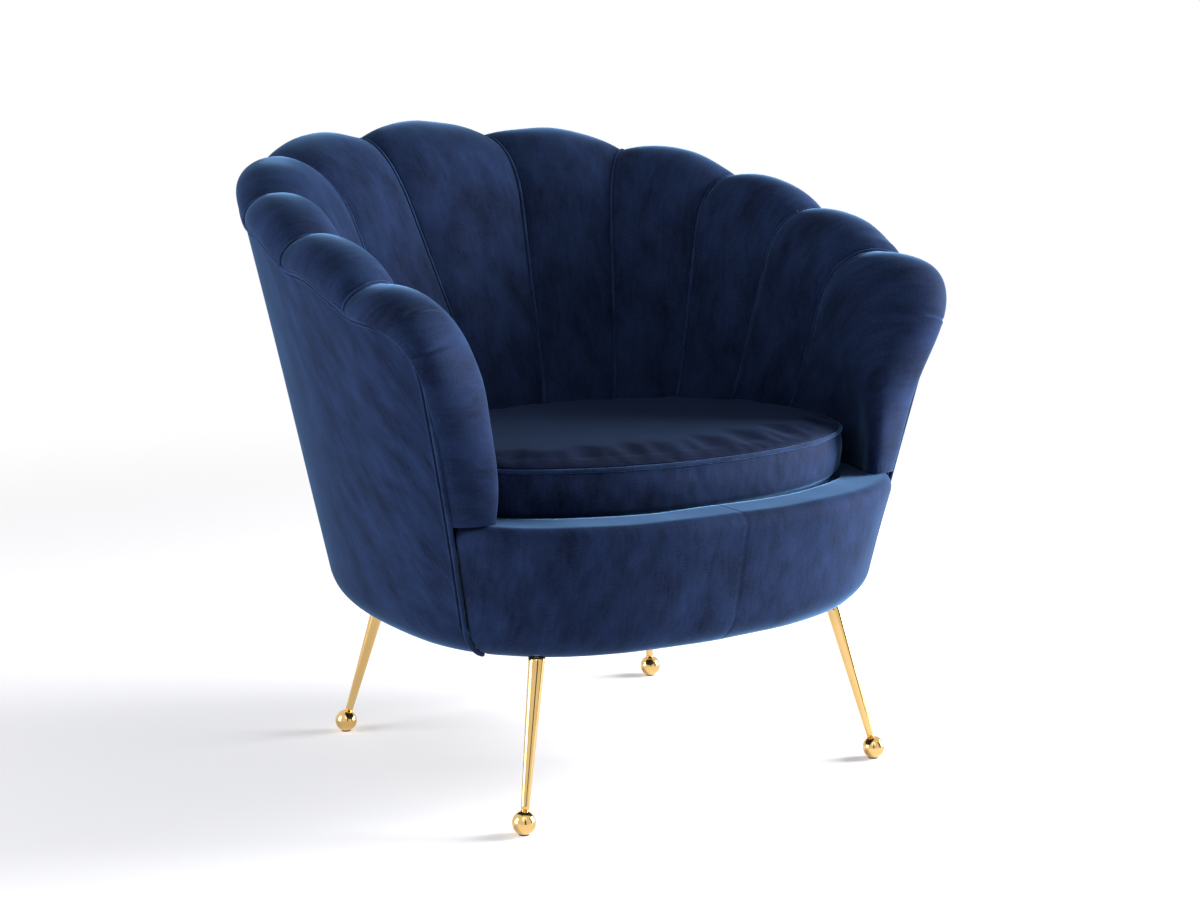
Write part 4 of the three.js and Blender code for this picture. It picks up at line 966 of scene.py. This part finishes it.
def sweep_tree():
    tree = bpy.data.node_groups.new("round_sweep", "GeometryNodeTree")
    nodes = Nodes(tree)
    add_input(tree, "Geometry", "NodeSocketGeometry")
    add_input(tree, "Radius", "NodeSocketFloat", 0.003)
    add_input(tree, "Sides", "NodeSocketInt", 16)
    add_input(tree, "Finish", "NodeSocketMaterial")
    tree.interface.new_socket("Geometry", in_out="OUTPUT", socket_type="NodeSocketGeometry")
    entry = tree.nodes.new("NodeGroupInput")
    path, radius, sides, finish = [Wire(nodes, entry.outputs[index]) for index in range(4)]
    curve = nodes.add("GeometryNodeMeshToCurve", values=[path])
    section = nodes.add("GeometryNodeCurvePrimitiveCircle", values={"Resolution": sides, "Radius": radius})
    swept = nodes.add("GeometryNodeCurveToMesh",
                      values={"Curve": curve, "Profile Curve": section, "Fill Caps": True})
    smooth_faces = nodes.add("GeometryNodeSetShadeSmooth", values=[swept])
    real = nodes.add("GeometryNodeRealizeInstances", values=[smooth_faces])
    finished = nodes.add("GeometryNodeSetMaterial", values={"Geometry": real, "Material": finish})
    nodes.add("NodeGroupOutput", values=[finished])
    return tree


def run_tree(name, tree, points, inputs, closed=False):
    """Runs a geometry tree on a path and returns a plain mesh object."""
    path = bpy.data.meshes.new(name)
    count = len(points)
    edges = [(i, i + 1) for i in range(count - 1)] + ([(count - 1, 0)] if closed else [])
    path.from_pydata([tuple(p) for p in points], edges, [])
    piece = bpy.data.objects.new(name, path)
    bpy.context.scene.collection.objects.link(piece)
    modifier = piece.modifiers.new("tree", "NODES")
    modifier.node_group = tree
    known = {item.name: item.identifier for item in tree.interface.items_tree
             if item.item_type == "SOCKET" and item.in_out == "INPUT"}
    for key, value in inputs.items():
        modifier[known[key]] = value
    graph = bpy.context.evaluated_depsgraph_get()
    made = bpy.data.meshes.new_from_object(piece.evaluated_get(graph))
    piece.modifiers.clear()
    piece.data = made
    made.name = name
    bpy.data.meshes.remove(path)
    turn_out(made)
    return piece


sweep = sweep_tree()
print("tree inputs:", [item.name for item in sweep.interface.items_tree if item.in_out == "INPUT"])

# %% Piping in the seams, round the rim and down the arms
piping_proud = 1.0
seam_points, rim_points = 150, 900


def seam_piping(index):
    seam = index + 1 - channel_count / 2
    rows = np.linspace(0, float(last_row(np.array(seam))), seam_points)
    points = upholstery(seam, rows) + upholstery_normal(seam, rows) * piping_proud
    points[:, 2] = np.maximum(points[:, 2], pad_foot_level)
    name = f"seam_piping_{index + 1:02d}"
    inputs = {"Radius": seam_radius * mm, "Sides": 14, "Finish": velvet_highlit}
    piece = run_tree(name, sweep, to_frame(points), inputs)
    return dress(piece, "chair", "piping", f"channel_welt_{index + 1:02d}")


def rim_wave_at(distance, angle):
    return np.where(distance < nose_rim_start, scallop_rise(seam_place(angle)), 0)


def rim_line(count, proud):
    share = np.linspace(-1, 1, count)
    distance = np.abs(share) * rim_edge.length
    angle, z = rim_edge.at(distance)
    z = z + rim_wave_at(distance, angle)
    points = shell_point(angle, z) + surface_normal(shell_point, angle, z) * proud
    points[:, 0] *= np.where(share < 0, -1, 1)
    return points


seam_pipings = [seam_piping(index) for index in range(channel_count - 1)]
rim_path = rim_line(rim_points, piping_proud)
rim_inputs = {"Radius": rim_radius * mm, "Sides": 14, "Finish": velvet_highlit}
rim_piping = run_tree("rim_piping", sweep, to_frame(rim_path), rim_inputs)
dress(rim_piping, "chair", "piping", "rim_welt")
print("piping runs:", len(seam_pipings) + 1)

# %% [markdown]
# ## Outer panel and front rail
# One panel of velvet is pulled round the outside of the shell and slip-stitched below the rim
# piping, so its top edge is a soft fold. The rail below the seat is a second piece, with a fine
# seam down its middle. Both curl under the base and are stapled to it. The fold and the seam are
# made by moving points along the surface normal, by how far they lie from the rim or the middle.

# %% Outer panel and front rail
fold_height, fold_place, fold_width, fold_turn_in, fold_turn_width = 1.5, 3.4, 1.7, 2.2, 1.1
panel_clearance = rim_radius + 0.35
cover_thickness = 4
board_level = 212
fine_edge = np.array([0, 0.5, 1.0, 1.6, 2.2, 2.8, 3.4, 4.0, 4.8, 5.8, 7, 9, 12, 16])


def panel_edge():
    """Upper edge of the panel as angles and heights, a clearance beside the rim piping."""
    distance = np.linspace(0, rim_edge.run_to_level(rim_edge.corner_end), 600)
    angle, z = rim_edge.at(distance)
    angle_before, before = rim_edge.at(distance - 0.8)
    angle_after, after = rim_edge.at(distance + 0.8)
    flat = np.linalg.norm(shell_point(angle_before, z) - shell_point(angle_after, z), axis=-1)
    slope = np.hypot(flat, after - before)
    angles = move_along(shell_point, angle, z, panel_clearance * (after - before) / slope)
    return angles, z + rim_wave_at(distance, angle) - panel_clearance * flat / slope


edge_angles, edge_levels = panel_edge()


def panel_turn(ratio, z):
    limit = move_along(shell_point, front_angle(z), z, -panel_clearance)
    return ratio * limit


def panel_top(ratio):
    """Height at which a column of the panel meets its upper edge."""
    low = np.full(ratio.shape, float(underside_level + edge_height))
    high = np.full(ratio.shape, float(crest_level))
    for _ in range(40):
        middle = (low + high) / 2
        turn = np.abs(panel_turn(ratio, middle))
        below = middle < np.interp(turn, edge_angles, edge_levels)
        low, high = np.where(below, middle, low), np.where(below, high, middle)
    return np.where(np.abs(ratio) >= 1, rim_edge.corner_end, low)


def fold_offset(distance):
    bead = fold_height * np.exp(-((distance - fold_place) / fold_width) ** 2)
    return bead - fold_turn_in * np.exp(-(distance / fold_turn_width) ** 2)


def search_tree(points):
    """A tree that finds the points nearest to a place."""
    tree = kdtree.KDTree(len(points))
    for index, point in enumerate(points):
        tree.insert(point, index)
    tree.balance()
    return tree


def edge_distance(points, path):
    """Distance from each point to the nearest point of a path."""
    tree = search_tree(path)
    return np.array([tree.find(point)[2] for point in points.reshape(-1, 3)]).reshape(points.shape[:-1])


def under_roll(turn_at, count=14):
    """Profile rows from the start of the rounded lower edge to the flange under the base."""
    turns = np.linspace(0, np.pi / 2, count)[1:]
    levels = underside_level + edge_height * (1 - np.sin(turns))
    insets = edge_draw_in(levels)
    rows = [shell_point(turn_at(z), z, inset, False) for z, inset in zip(levels, insets)]
    for inset, z in ((flange_inset, flange_level), (flange_inset, board_level - gap)):
        rows.append(shell_point(turn_at(z), z, inset, False))
    return rows


def outer_panel():
    span = float(np.sum(np.linalg.norm(np.diff(shell_point(np.linspace(0, 2, 200), 450.0), axis=0), axis=1)))
    near_end = 1 - fine_edge[::-1] / span
    half = np.concatenate([np.linspace(0, near_end[0], 170)[:-1], near_end])
    ratio = np.concatenate([-half[:0:-1], half])
    top = panel_top(ratio)
    foot = underside_level + edge_height
    rows = [top - depth for depth in fine_edge]
    rest = top - fine_edge[-1]
    rows += [mix(rest, foot, share) for share in np.linspace(0, 1, 50)[1:]]
    outside = np.stack([shell_point(panel_turn(ratio, z), z, 0, False) for z in rows], axis=1)
    normals = np.stack([surface_normal(shell_point, panel_turn(ratio, z), z) for z in rows], axis=1)
    path = rim_line(3000, 0)
    distance = edge_distance(outside, path) - panel_clearance
    uv = cloth_uv(outside)
    slack = 0.5 * waviness(5, uv[..., 0], uv[..., 1] * 0.4, 210) * smooth(distance / 40)
    outside = outside + normals * (fold_offset(distance) + slack)[..., None]
    roll = under_roll(lambda z: panel_turn(ratio, z))
    grid = np.concatenate([outside, np.stack(roll, axis=1)], axis=1)
    inner_rows = [mix(foot, top - 2, share) for share in np.linspace(0, 1, 8)]
    inside = [shell_point(panel_turn(ratio, z), z, cover_thickness, False) for z in inner_rows]
    profile = np.concatenate([grid, np.stack(inside, axis=1)], axis=1)
    return closed_band("outer_panel", profile, cloth_uv(profile), 0.11)


def closed_band(name, profile, uv, uv_shift):
    """A closed body from columns that are each a closed profile, with two flat ends."""
    columns, rows = profile.shape[:2]
    faces = [list(f) for f in grid_faces(columns, rows)]
    for i in range(columns - 1):
        a, b = i * rows, (i + 1) * rows
        faces.append([a + rows - 1, b + rows - 1, b, a])
    faces.append(list(range(rows)))
    faces.append([(columns - 1) * rows + j for j in range(rows - 1, -1, -1)])
    return make_piece(name, to_frame(profile), faces, uv * mm, velvet, uv_shift)


panel = outer_panel()
dress(panel, "chair", "velvet", "outer_cover")
print("outer panel faces:", len(panel.data.polygons))

# %% Front rail
rail_lip, rail_shelf, rail_padding, seat_ring_top = 20, 66, 29, 338
rail_end_roll, rail_end_width = 2.4, 2.2
rail_length = 640.0
rail_wave, rail_wave_height = 130, 0.7
rail_inside = [0, -60, 300]
rail_seam_columns = np.array([-3.6, -2.4, -1.6, -0.8, 0, 0.8, 1.6, 2.4, 3.6])
rail_seam_depth, rail_seam_width = 0.7, 0.9


def front_rail():
    ends = fine_edge / rail_length
    near_seam = 0.5 + rail_seam_columns / rail_length
    half = np.concatenate([ends, np.linspace(ends[-1], near_seam[0], 90)[1:]])
    share = np.concatenate([half, near_seam[1:-1], 1 - half[::-1]])

    def turn_at(z):
        limit = move_along(shell_point, front_angle(z), z, panel_clearance)
        return mix(limit, 2 * np.pi - limit, share)

    turns = np.linspace(np.pi / 2, 0, 12)
    rows = [shell_point(turn_at(rail_top_level), rail_top_level, inset, False)
            for inset in np.linspace(rail_shelf, rail_lip, 14)[:-1]]
    for turn in turns:
        z = rail_top_level - rail_lip * (1 - math.sin(turn))
        rows.append(shell_point(turn_at(z), z, rail_lip * (1 - math.cos(turn)), False))
    lip_foot = rail_top_level - rail_lip
    for z in np.linspace(lip_foot, underside_level + edge_height, 40)[1:]:
        rows.append(shell_point(turn_at(z), z, 0, False))
    shown = len(rows)
    rows += under_roll(turn_at)
    outside = np.stack(rows, axis=1)
    across = np.gradient(outside, axis=0)
    climb = np.gradient(outside, axis=1)
    normal = unit(np.cross(climb, across))
    normal *= np.sign((normal[:, shown // 2] * (outside[:, shown // 2] - rail_inside)).sum(-1).mean())
    uv = cloth_uv(outside)
    ends_gap = np.minimum(uv[..., 0] - uv[:1, :, 0], uv[-1:, :, 0] - uv[..., 0])
    offset = -rail_end_roll * np.exp(-(ends_gap / rail_end_width) ** 2)
    offset += rail_wave_height * waviness(17, uv[..., 0], uv[..., 1], rail_wave) * smooth(ends_gap / 30)
    offset -= rail_seam_depth * np.exp(-(uv[..., 0] / rail_seam_width) ** 2)
    outside = outside + normal * offset[..., None]
    ring_level = seat_ring_top + gap
    inner = [(rail_padding, board_level + 18), (rail_padding, ring_level), (rail_shelf, ring_level)]
    inside = [shell_point(turn_at(z), z, inset, False) for inset, z in inner]
    profile = np.concatenate([outside, np.stack(inside, axis=1)], axis=1)
    return closed_band("front_rail", profile, cloth_uv(profile), 0.53)


rail = front_rail()
dress(rail, "chair", "velvet", "front_rail_cover")
print("front rail faces:", len(rail.data.polygons))

# %% [markdown]
# ## Seat cushion
# The loose cushion is a foam slab in a velvet cover: a top panel, a band and a bottom panel,
# with piping in the top seam. A cloth simulation inflates a plain body whose seams are held, and
# the movement of that body is then carried over to a clean mesh with fine rows at the seam.

# %% Cushion shape
cushion_half_width, cushion_back, cushion_front, cushion_centre_y = 308, 266, 174.5, -86
cushion_back_exponent, cushion_front_exponent = 2.2, 2.05
cushion_piping_level, cushion_crown, crown_reach = 429, 17, 26
cushion_foot, cushion_corner, cushion_radius = 370.4, 13, 2.8
band_bulge, crown_edge_rise = 2.2, 9.5
cushion_middle = np.array([0, cushion_centre_y + (cushion_back - cushion_front) / 2, 0])
cushion_top = cushion_piping_level + cushion_crown


def even_steps(closed, count):
    """Points in even steps round a closed line, and the length along it at each."""
    runs = np.concatenate([[0], np.cumsum(np.linalg.norm(np.diff(closed, axis=0), axis=1))])
    wanted = np.linspace(0, runs[-1], count + 1)[:-1]
    return np.stack([np.interp(wanted, runs, closed[:, axis]) for axis in range(3)], axis=-1), wanted


def cushion_outline(count):
    angle = np.linspace(0, 2 * np.pi, 4001)
    line = plan_point(angle, cushion_half_width, cushion_back, cushion_front, cushion_centre_y,
                      cushion_back_exponent, cushion_front_exponent, 0.0)
    return even_steps(line, count)


def cushion_rows():
    """Rows of the cover as inset, height and share of the way in to the middle."""
    rows = [(0.0, cushion_foot, share) for share in np.linspace(0.985, 0.0, 14)]
    rows[-1] = (cushion_corner, cushion_foot, 0.0)
    rows = [(cushion_corner, z, share) for _, z, share in rows]
    for turn in np.linspace(0, np.pi / 2, 9)[1:]:
        z = cushion_foot + cushion_corner * (1 - math.cos(turn))
        rows.append((cushion_corner * (1 - math.sin(turn)), z, 0.0))
    side_foot = cushion_foot + cushion_corner
    groove = cushion_radius + 0.8
    for share in np.linspace(0, 1, 16)[1:]:
        z = mix(side_foot, cushion_piping_level - groove, share)
        rows.append((-band_bulge * math.sin(math.pi * share), z, 0.0))
    rows += [(1.2, cushion_piping_level - 2.6, 0.0), (3.4, cushion_piping_level - 1.2, 0.0),
             (4.2, cushion_piping_level, 0.0), (3.6, cushion_piping_level + 1.2, 0.0),
             (2.2, cushion_piping_level + 2.5, 0.0), (1.6, cushion_piping_level + 3.8, 0.0)]
    crown_foot = cushion_piping_level + 3.8
    for share in np.linspace(0, 1, 20)[1:]:
        rise = 1 - (1 - share) ** 2.3
        z = mix(crown_foot, crown_foot + crown_edge_rise, rise)
        rows.append((1.6 + crown_reach * share ** 1.15, z, 0.0))
    last_inset, last_level, _ = rows[-1]
    for share in np.linspace(0, 0.992, 60)[1:]:
        rise = 1 - (1 - share) ** 2.2
        rows.append((last_inset, mix(last_level, cushion_top, rise), share))
    return rows


def cushion_grid(count):
    outline, run = cushion_outline(count)
    inward = unit((cushion_middle - outline) * [1, 1, 0])
    columns = []
    for inset, z, share in cushion_rows():
        ring = outline + inward * inset
        ring = ring + (cushion_middle - ring) * share
        ring[:, 2] = z
        columns.append(ring)
    return np.stack(columns, axis=1), run


print("cushion rows:", len(cushion_rows()))

# %% [markdown]
# ## Inflating the cushion
# The body for the simulation is the same shape remeshed to even quads, because cloth likes even
# edges. Points near the seams are pinned, and the rest feels pressure and no gravity. A very
# little spare cloth, set by a negative shrink, forms gathers along the piping. No point may move
# further than a cap.

# %% Cloth simulation
voxel = 0.0065
cloth_frames, cloth_pressure, cloth_cap, cloth_shrink = 20, 2.6, 4.0, -0.004
pin_reach = 7.0
carry_count, carry_soften = 6, 4.0


def plain_body(name, points, rows, count):
    return make_piece(name, to_frame(points), tube_faces(count, rows))


def inflate(body):
    """Runs the cloth on a remeshed copy. Returns its points before and after, in millimetres."""
    remesh = body.modifiers.new("even", "REMESH")
    remesh.mode, remesh.voxel_size = "VOXEL", voxel
    graph = bpy.context.evaluated_depsgraph_get()
    mesh = bpy.data.meshes.new_from_object(body.evaluated_get(graph))
    work = bpy.data.objects.new("cushion_cloth", mesh)
    bpy.context.scene.collection.objects.link(work)
    before = np.array([v.co for v in mesh.vertices])
    millimetres = before / mm - shift
    path = cushion_outline(700)[0]
    seam = edge_distance(millimetres, path + [0, 0, cushion_piping_level])
    foot = edge_distance(millimetres, path + [0, 0, cushion_foot])
    held = np.maximum(1 - seam / pin_reach, 1 - foot / (2 * pin_reach))
    held = np.where(millimetres[:, 2] < cushion_foot + 2, 1, clamp01(held * 1.6))
    group = work.vertex_groups.new(name="held")
    for index, weight in enumerate(held):
        if weight > 0:
            group.add([index], float(weight), "REPLACE")
    cloth = work.modifiers.new("cloth", "CLOTH")
    settings = cloth.settings
    settings.quality = 6
    settings.mass = 0.3
    settings.tension_stiffness = settings.compression_stiffness = 18
    settings.shear_stiffness, settings.bending_stiffness = 8, 2.5
    settings.use_pressure = True
    settings.uniform_pressure_force = cloth_pressure
    settings.shrink_min = cloth_shrink
    settings.vertex_group_mass = "held"
    settings.effector_weights.gravity = 0
    cloth.collision_settings.use_collision = False
    scene = bpy.context.scene
    cloth.point_cache.frame_start, cloth.point_cache.frame_end = 1, cloth_frames
    for frame_number in range(1, cloth_frames + 1):
        scene.frame_set(frame_number)
    graph = bpy.context.evaluated_depsgraph_get()
    result = work.evaluated_get(graph).to_mesh()
    after = np.array([v.co for v in result.vertices])
    work.evaluated_get(graph).to_mesh_clear()
    bpy.data.objects.remove(work)
    scene.frame_set(1)
    return millimetres, (after - before) / mm


def carry_over(points, source, moves):
    """Movement at each point, from the nearest points of the simulated body."""
    tree = search_tree(source)
    flat = points.reshape(-1, 3)
    result = np.zeros_like(flat)
    for index, point in enumerate(flat):
        found = tree.find_n(point, carry_count)
        weights = np.array([1 / (item[2] ** 2 + carry_soften) for item in found])
        result[index] = (moves[[item[1] for item in found]] * weights[:, None]).sum(0) / weights.sum()
    return result.reshape(points.shape)


cushion_columns = 360
cushion_points, cushion_run = cushion_grid(cushion_columns)
plain = plain_body("cushion_plain", cushion_points, cushion_points.shape[1], cushion_columns)
source, moved = inflate(plain)
size = np.linalg.norm(moved, axis=1, keepdims=True)
moved = moved * np.minimum(1, cloth_cap / np.maximum(size, 1e-6))
print("cloth moved its points by up to, mm:", round(float(size.max()), 1))
moves = carry_over(cushion_points, source, moved)
bpy.data.objects.remove(plain)

# %% [markdown]
# ## The finished cushion
# Gathers run in from the piping where the cloth is eased round the curve. The top panel is a
# duller, darker copy of the band's velvet: its flat pile gets less sheen, and its darker colour is
# painted shade on the upward face. So the faces get one of two materials.

# %% Cushion and its piping
gather_wave, gather_height, gather_reach = 15.0, 0.45, 12.0
wrinkle_wave, wrinkle_height = 60, 0.35
cushion_uv_shift = 0.71


def cushion_piece():
    points = cushion_points + moves
    points[..., 2] = np.maximum(points[..., 2], cushion_foot)
    rows = cushion_rows()
    level = np.array([row[1] for row in rows])
    inset = np.array([row[0] for row in rows])
    share = np.array([row[2] for row in rows])
    on_top = level > cushion_piping_level + 1
    from_seam = np.where(on_top & (share == 0), inset, np.where(on_top, crown_reach + share * 200, 1e3))
    run = cushion_run[:, None]
    flat = np.zeros_like(run)
    strength = 0.4 + 0.6 * smooth(waviness(42, run, flat, 160))
    gather = waviness(41, run, flat, gather_wave) * strength
    fade = np.exp(-from_seam / gather_reach) * smooth(from_seam / 4)
    points[..., 2] += gather_height * gather * fade[None, :]
    side = (level < cushion_piping_level) & (share == 0)
    wrinkle = waviness(43, run + 0 * level[None, :], level[None, :] * 1.5, wrinkle_wave)
    wrinkle = wrinkle * side[None, :] * wrinkle_height
    inward = unit((cushion_middle - cushion_points[:, 40]) * [1, 1, 0])
    points -= inward[:, None, :] * wrinkle[..., None]
    band_uv = np.stack(np.broadcast_arrays(run, level[None, :]), axis=-1)
    uv = np.where((on_top | (share > 0))[None, :, None], points[..., :2], band_uv)
    count, total = points.shape[:2]
    faces = tube_faces(count, total)
    piece = make_piece("seat_cushion_cover", to_frame(points), faces, uv * mm, velvet, cushion_uv_shift)
    piece.data.materials.append(velvet_shaded_top)
    top_rows = set(np.flatnonzero(on_top))
    for face in piece.data.polygons:
        if min(v % total for v in face.vertices) in top_rows:
            face.material_index = 1
    return piece


cushion = cushion_piece()
dress(cushion, "cushion", "velvet", "seat_cushion")
piping_line, _ = cushion_outline(500)
piping_line = piping_line + [0, 0, cushion_piping_level]
cushion_inputs = {"Radius": cushion_radius * mm, "Sides": 14, "Finish": velvet_highlit}
cushion_piping = run_tree("cushion_piping", sweep, to_frame(piping_line), cushion_inputs, closed=True)
dress(cushion_piping, "cushion", "piping", "cushion_welt")
print("cushion faces:", len(cushion.data.polygons))

# %% [markdown]
# ## Legs and ball feet
# Each leg is a turned brass cone that leans outward, and it ends in a ball. The rigid legs have
# few sides, which polished metal would show, so they are swept again with many. The places come
# from the boxes of the rigid nodes.

# %% Legs and ball feet
leg_sides, leg_rows = 64, 24
leg_leans = {"front_left": (0.227, 0.205), "front_right": (-0.227, 0.205),
             "back_left": (0.216, -0.205), "back_right": (-0.216, -0.205)}
ball_radius, ball_flat, leg_foot_radius, leg_top_radius = 14.7, 1.05, 5.0, 10.5
ball_rows, ball_foot_cap, leg_sink, plate_thickness = 30, 1.9, 1.6, 3
leg_foot_level = 2 * ball_radius - ball_flat + gap
leg_top_level = board_level - gap - plate_thickness - gap


def ring(x, y, z, radius, count=leg_sides):
    angle = np.linspace(0, 2 * np.pi, count + 1)[:-1]
    level = np.full(count, float(z))
    return np.stack([x + radius * np.cos(angle), y + radius * np.sin(angle), level], axis=-1)


def turned_piece(name, rings, material):
    """A closed turned body from rings, in millimetres."""
    grid = np.stack(rings, axis=1)
    faces = tube_faces(*grid.shape[:2])
    return make_piece(name, grid.reshape(-1, 3) * mm, faces, material=material)


def leg_and_ball(corner, lean):
    low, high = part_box(f"ball_foot_{corner}")
    x, y = (low.x + high.x) / 2 / mm, (low.y + high.y) / 2 / mm
    rings = []
    for share in np.linspace(0, 1, leg_rows):
        z = mix(leg_foot_level - leg_sink, leg_top_level, share)
        radius = mix(leg_foot_radius, leg_top_radius, (z - leg_foot_level) / (leg_top_level - leg_foot_level))
        rings.append(ring(x + lean[0] * (z - ball_radius), y + lean[1] * (z - ball_radius), z, radius))
    leg = turned_piece(f"brass_leg_{corner}", rings, brass)
    dress(leg, "chair", "brass", f"leg_{corner}")
    turns = np.linspace(0.13, 0.996, ball_rows) * np.pi
    turns[0] = math.acos(1 - ball_foot_cap / ball_radius)
    rings = [ring(x, y, ball_radius * (1 - math.cos(turn)), ball_radius * math.sin(turn)) for turn in turns]
    ball = turned_piece(f"brass_ball_{corner}", rings, brass)
    dress(ball, "chair", "brass", f"ball_foot_{corner}")


for corner, lean in leg_leans.items():
    leg_and_ball(corner, lean)
print("legs and balls:", len(leg_leans))

# %% [markdown]
# ## Deck, springs and bottom lining
# Lift the cushion and a black deck shows, padded a little and pulled tight, with a border of
# velvet where the cushion doesn't reach. Below it are zigzag springs, and under the base a black
# lining keeps the dust out, held by a row of staples. The staples are one small bar, put along
# the path by a geometry tree.

# %% Seat deck
level_reach = 0.3


def node_outline(node, level_share):
    """Outline of a flat node in millimetres, from its vertices near one face."""
    low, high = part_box(node)
    level = mix(low.z, high.z, level_share)
    points = np.array([v.co for v in frame["nodes"][node].data.vertices])
    points = points[np.abs(points[:, 2] - level) < level_reach * mm]
    points = np.unique(np.round(points / mm, 2), axis=0)
    middle = (points.min(0) + points.max(0)) / 2
    order = np.argsort(np.arctan2(points[:, 1] - middle[1], points[:, 0] - middle[0]))
    return points[order], middle


def even_loop(line, count):
    return even_steps(np.concatenate([line, line[:1]]), count)[0]


deck_border_rings = 18
deck_edge_rows = [(0.02, 0.0), (0.006, 0.03), (0.0, 0.1), (0.0, 0.8), (0.004, 0.93), (0.014, 0.99)]
deck_sag, deck_drop = 2.5, 0.1


def deck_piece():
    outline, middle = node_outline("seat_deck", 1)
    low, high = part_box("seat_deck")
    line = even_loop(outline, 240)
    rings = []
    for share, level in deck_edge_rows:
        rings.append(mix(line, middle, share) * [1, 1, 0] + [0, 0, mix(low.z, high.z, level) / mm])
    for share in np.linspace(0.03, 0.985, 40):
        sag = deck_sag * smooth(share * 1.5)
        rings.append(mix(line, middle, share) * [1, 1, 0] + [0, 0, high.z / mm - deck_drop - sag])
    piece = turned_piece("seat_deck_cover", rings, lining)
    # The border gets the lighter piping velvet, whose lift in tone is painted highlight.
    piece.data.materials.append(velvet_highlit)
    for face in piece.data.polygons:
        if max(v % len(rings) for v in face.vertices) <= deck_border_rings:
            face.material_index = 1
    dress(piece, "chair", "cloth", "seat_deck")
    return piece


deck = deck_piece()
print("deck size, mm:", [round(v) for v in np.array(deck.dimensions) / mm])

# %% Springs
spring_wire, spring_swing, spring_waves = 3.6, 24, 9


def spring_piece(index):
    node = f"zigzag_spring_{index}"
    low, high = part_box(node)
    t = np.linspace(0, 1, 260)
    middle = (low.x + high.x) / 2 / mm
    inset = spring_wire * 0.1
    points = np.stack([
        middle + spring_swing * np.sin(np.pi * spring_waves * t),
        mix(low.y / mm + inset, high.y / mm - inset, t),
        np.full(t.shape, (low.z + high.z) / 2 / mm)], axis=-1)
    inputs = {"Radius": spring_wire / 2 * mm, "Sides": 10, "Finish": steel}
    piece = run_tree(f"spring_wire_{index}", sweep, points * mm, inputs)
    return dress(piece, "chair", "steel", node)


springs = [spring_piece(index + 1) for index in range(4)]
print("springs:", len(springs))

# %% Bottom lining and its staples
staple_spacing, staple_length, staple_wire, staple_inset = 26, 11, 0.9, 9


def lining_piece():
    low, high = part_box("dust_cover")
    outline, middle = node_outline("dust_cover", 0)
    distances = np.linalg.norm(outline - middle, axis=1)
    line = even_loop(outline[distances > np.median(distances) * 0.9], 200)
    bottom, top = low.z / mm, high.z / mm
    rings = []
    for share in np.linspace(0.99, 0.0, 24):
        rings.append(mix(line, middle, share) * [1, 1, 0] + [0, 0, top])
    for share in np.linspace(0.0, 0.99, 24):
        rings.append(mix(line, middle, share) * [1, 1, 0] + [0, 0, bottom])
    piece = turned_piece("bottom_lining", rings[::-1], lining)
    dress(piece, "chair", "cloth", "dust_cover")
    x, y = line[:, 0] * mm, line[:, 1] * mm
    area = abs(float((x * np.roll(y, -1) - np.roll(x, -1) * y).sum())) / 2
    return mix(line, middle, staple_inset / 250), bottom


def staple_tree():
    tree = bpy.data.node_groups.new("staple_row", "GeometryNodeTree")
    nodes = Nodes(tree)
    add_input(tree, "Geometry", "NodeSocketGeometry")
    add_input(tree, "Spacing", "NodeSocketFloat", 0.026)
    add_input(tree, "Length", "NodeSocketFloat", 0.011)
    add_input(tree, "Wire", "NodeSocketFloat", 0.0009)
    add_input(tree, "Finish", "NodeSocketMaterial")
    tree.interface.new_socket("Geometry", in_out="OUTPUT", socket_type="NodeSocketGeometry")
    entry = tree.nodes.new("NodeGroupInput")
    path, spacing, length, wire, finish = [Wire(nodes, entry.outputs[index]) for index in range(5)]
    curve = nodes.add("GeometryNodeMeshToCurve", values=[path])
    points = nodes.tree.nodes.new("GeometryNodeCurveToPoints")
    points.mode = "LENGTH"
    nodes.put(points.inputs["Curve"], curve)
    nodes.put(points.inputs["Length"], spacing)
    size = nodes.add("ShaderNodeCombineXYZ", values=[length, wire, wire])
    bar = nodes.add("GeometryNodeMeshCube", values={"Size": size})
    turn = nodes.add("FunctionNodeAlignRotationToVector", {"axis": "X"},
                     {"Vector": Wire(nodes, points.outputs["Tangent"])})
    placed = nodes.add("GeometryNodeInstanceOnPoints", values={
        "Points": Wire(nodes, points.outputs["Points"]), "Instance": bar, "Rotation": turn})
    real = nodes.add("GeometryNodeRealizeInstances", values=[placed])
    finished = nodes.add("GeometryNodeSetMaterial", values={"Geometry": real, "Material": finish})
    nodes.add("NodeGroupOutput", values=[finished])
    return tree


staple_line, lining_level = lining_piece()
staple_line = staple_line * [1, 1, 0] + [0, 0, lining_level - staple_wire / 2]
staple_inputs = {"Spacing": staple_spacing * mm, "Length": staple_length * mm,
                 "Wire": staple_wire * mm, "Finish": steel}
staples = run_tree("lining_staples", staple_tree(), staple_line * mm, staple_inputs, closed=True)
dress(staples, "chair", "steel")
print("staples:", len(staples.data.polygons) // 6)

# %% [markdown]
# ## Finishes of the rigid parts
# The boards, posts, plates, studs and glides keep their rigid meshes. Each gets the finish of
# its material slot.

# %% Finishes of the rigid parts
slot_finish = {"velvet": velvet, "piping": velvet_highlit, "brass": brass, "steel": steel,
               "timber": timber, "cloth": lining, "nylon": nylon}
slot_of = {part["node"]: part["material_slot"] for part in frame["record"]["subparts"]}
for node, piece in frame["nodes"].items():
    finish = slot_finish[slot_of[node]]
    if not piece.material_slots:
        piece.data.materials.append(finish)
    for slot in piece.material_slots:
        slot.link = "OBJECT"
        slot.material = finish
print("rigid parts that show:", sorted(n for n, o in frame["nodes"].items() if not o.hide_render))
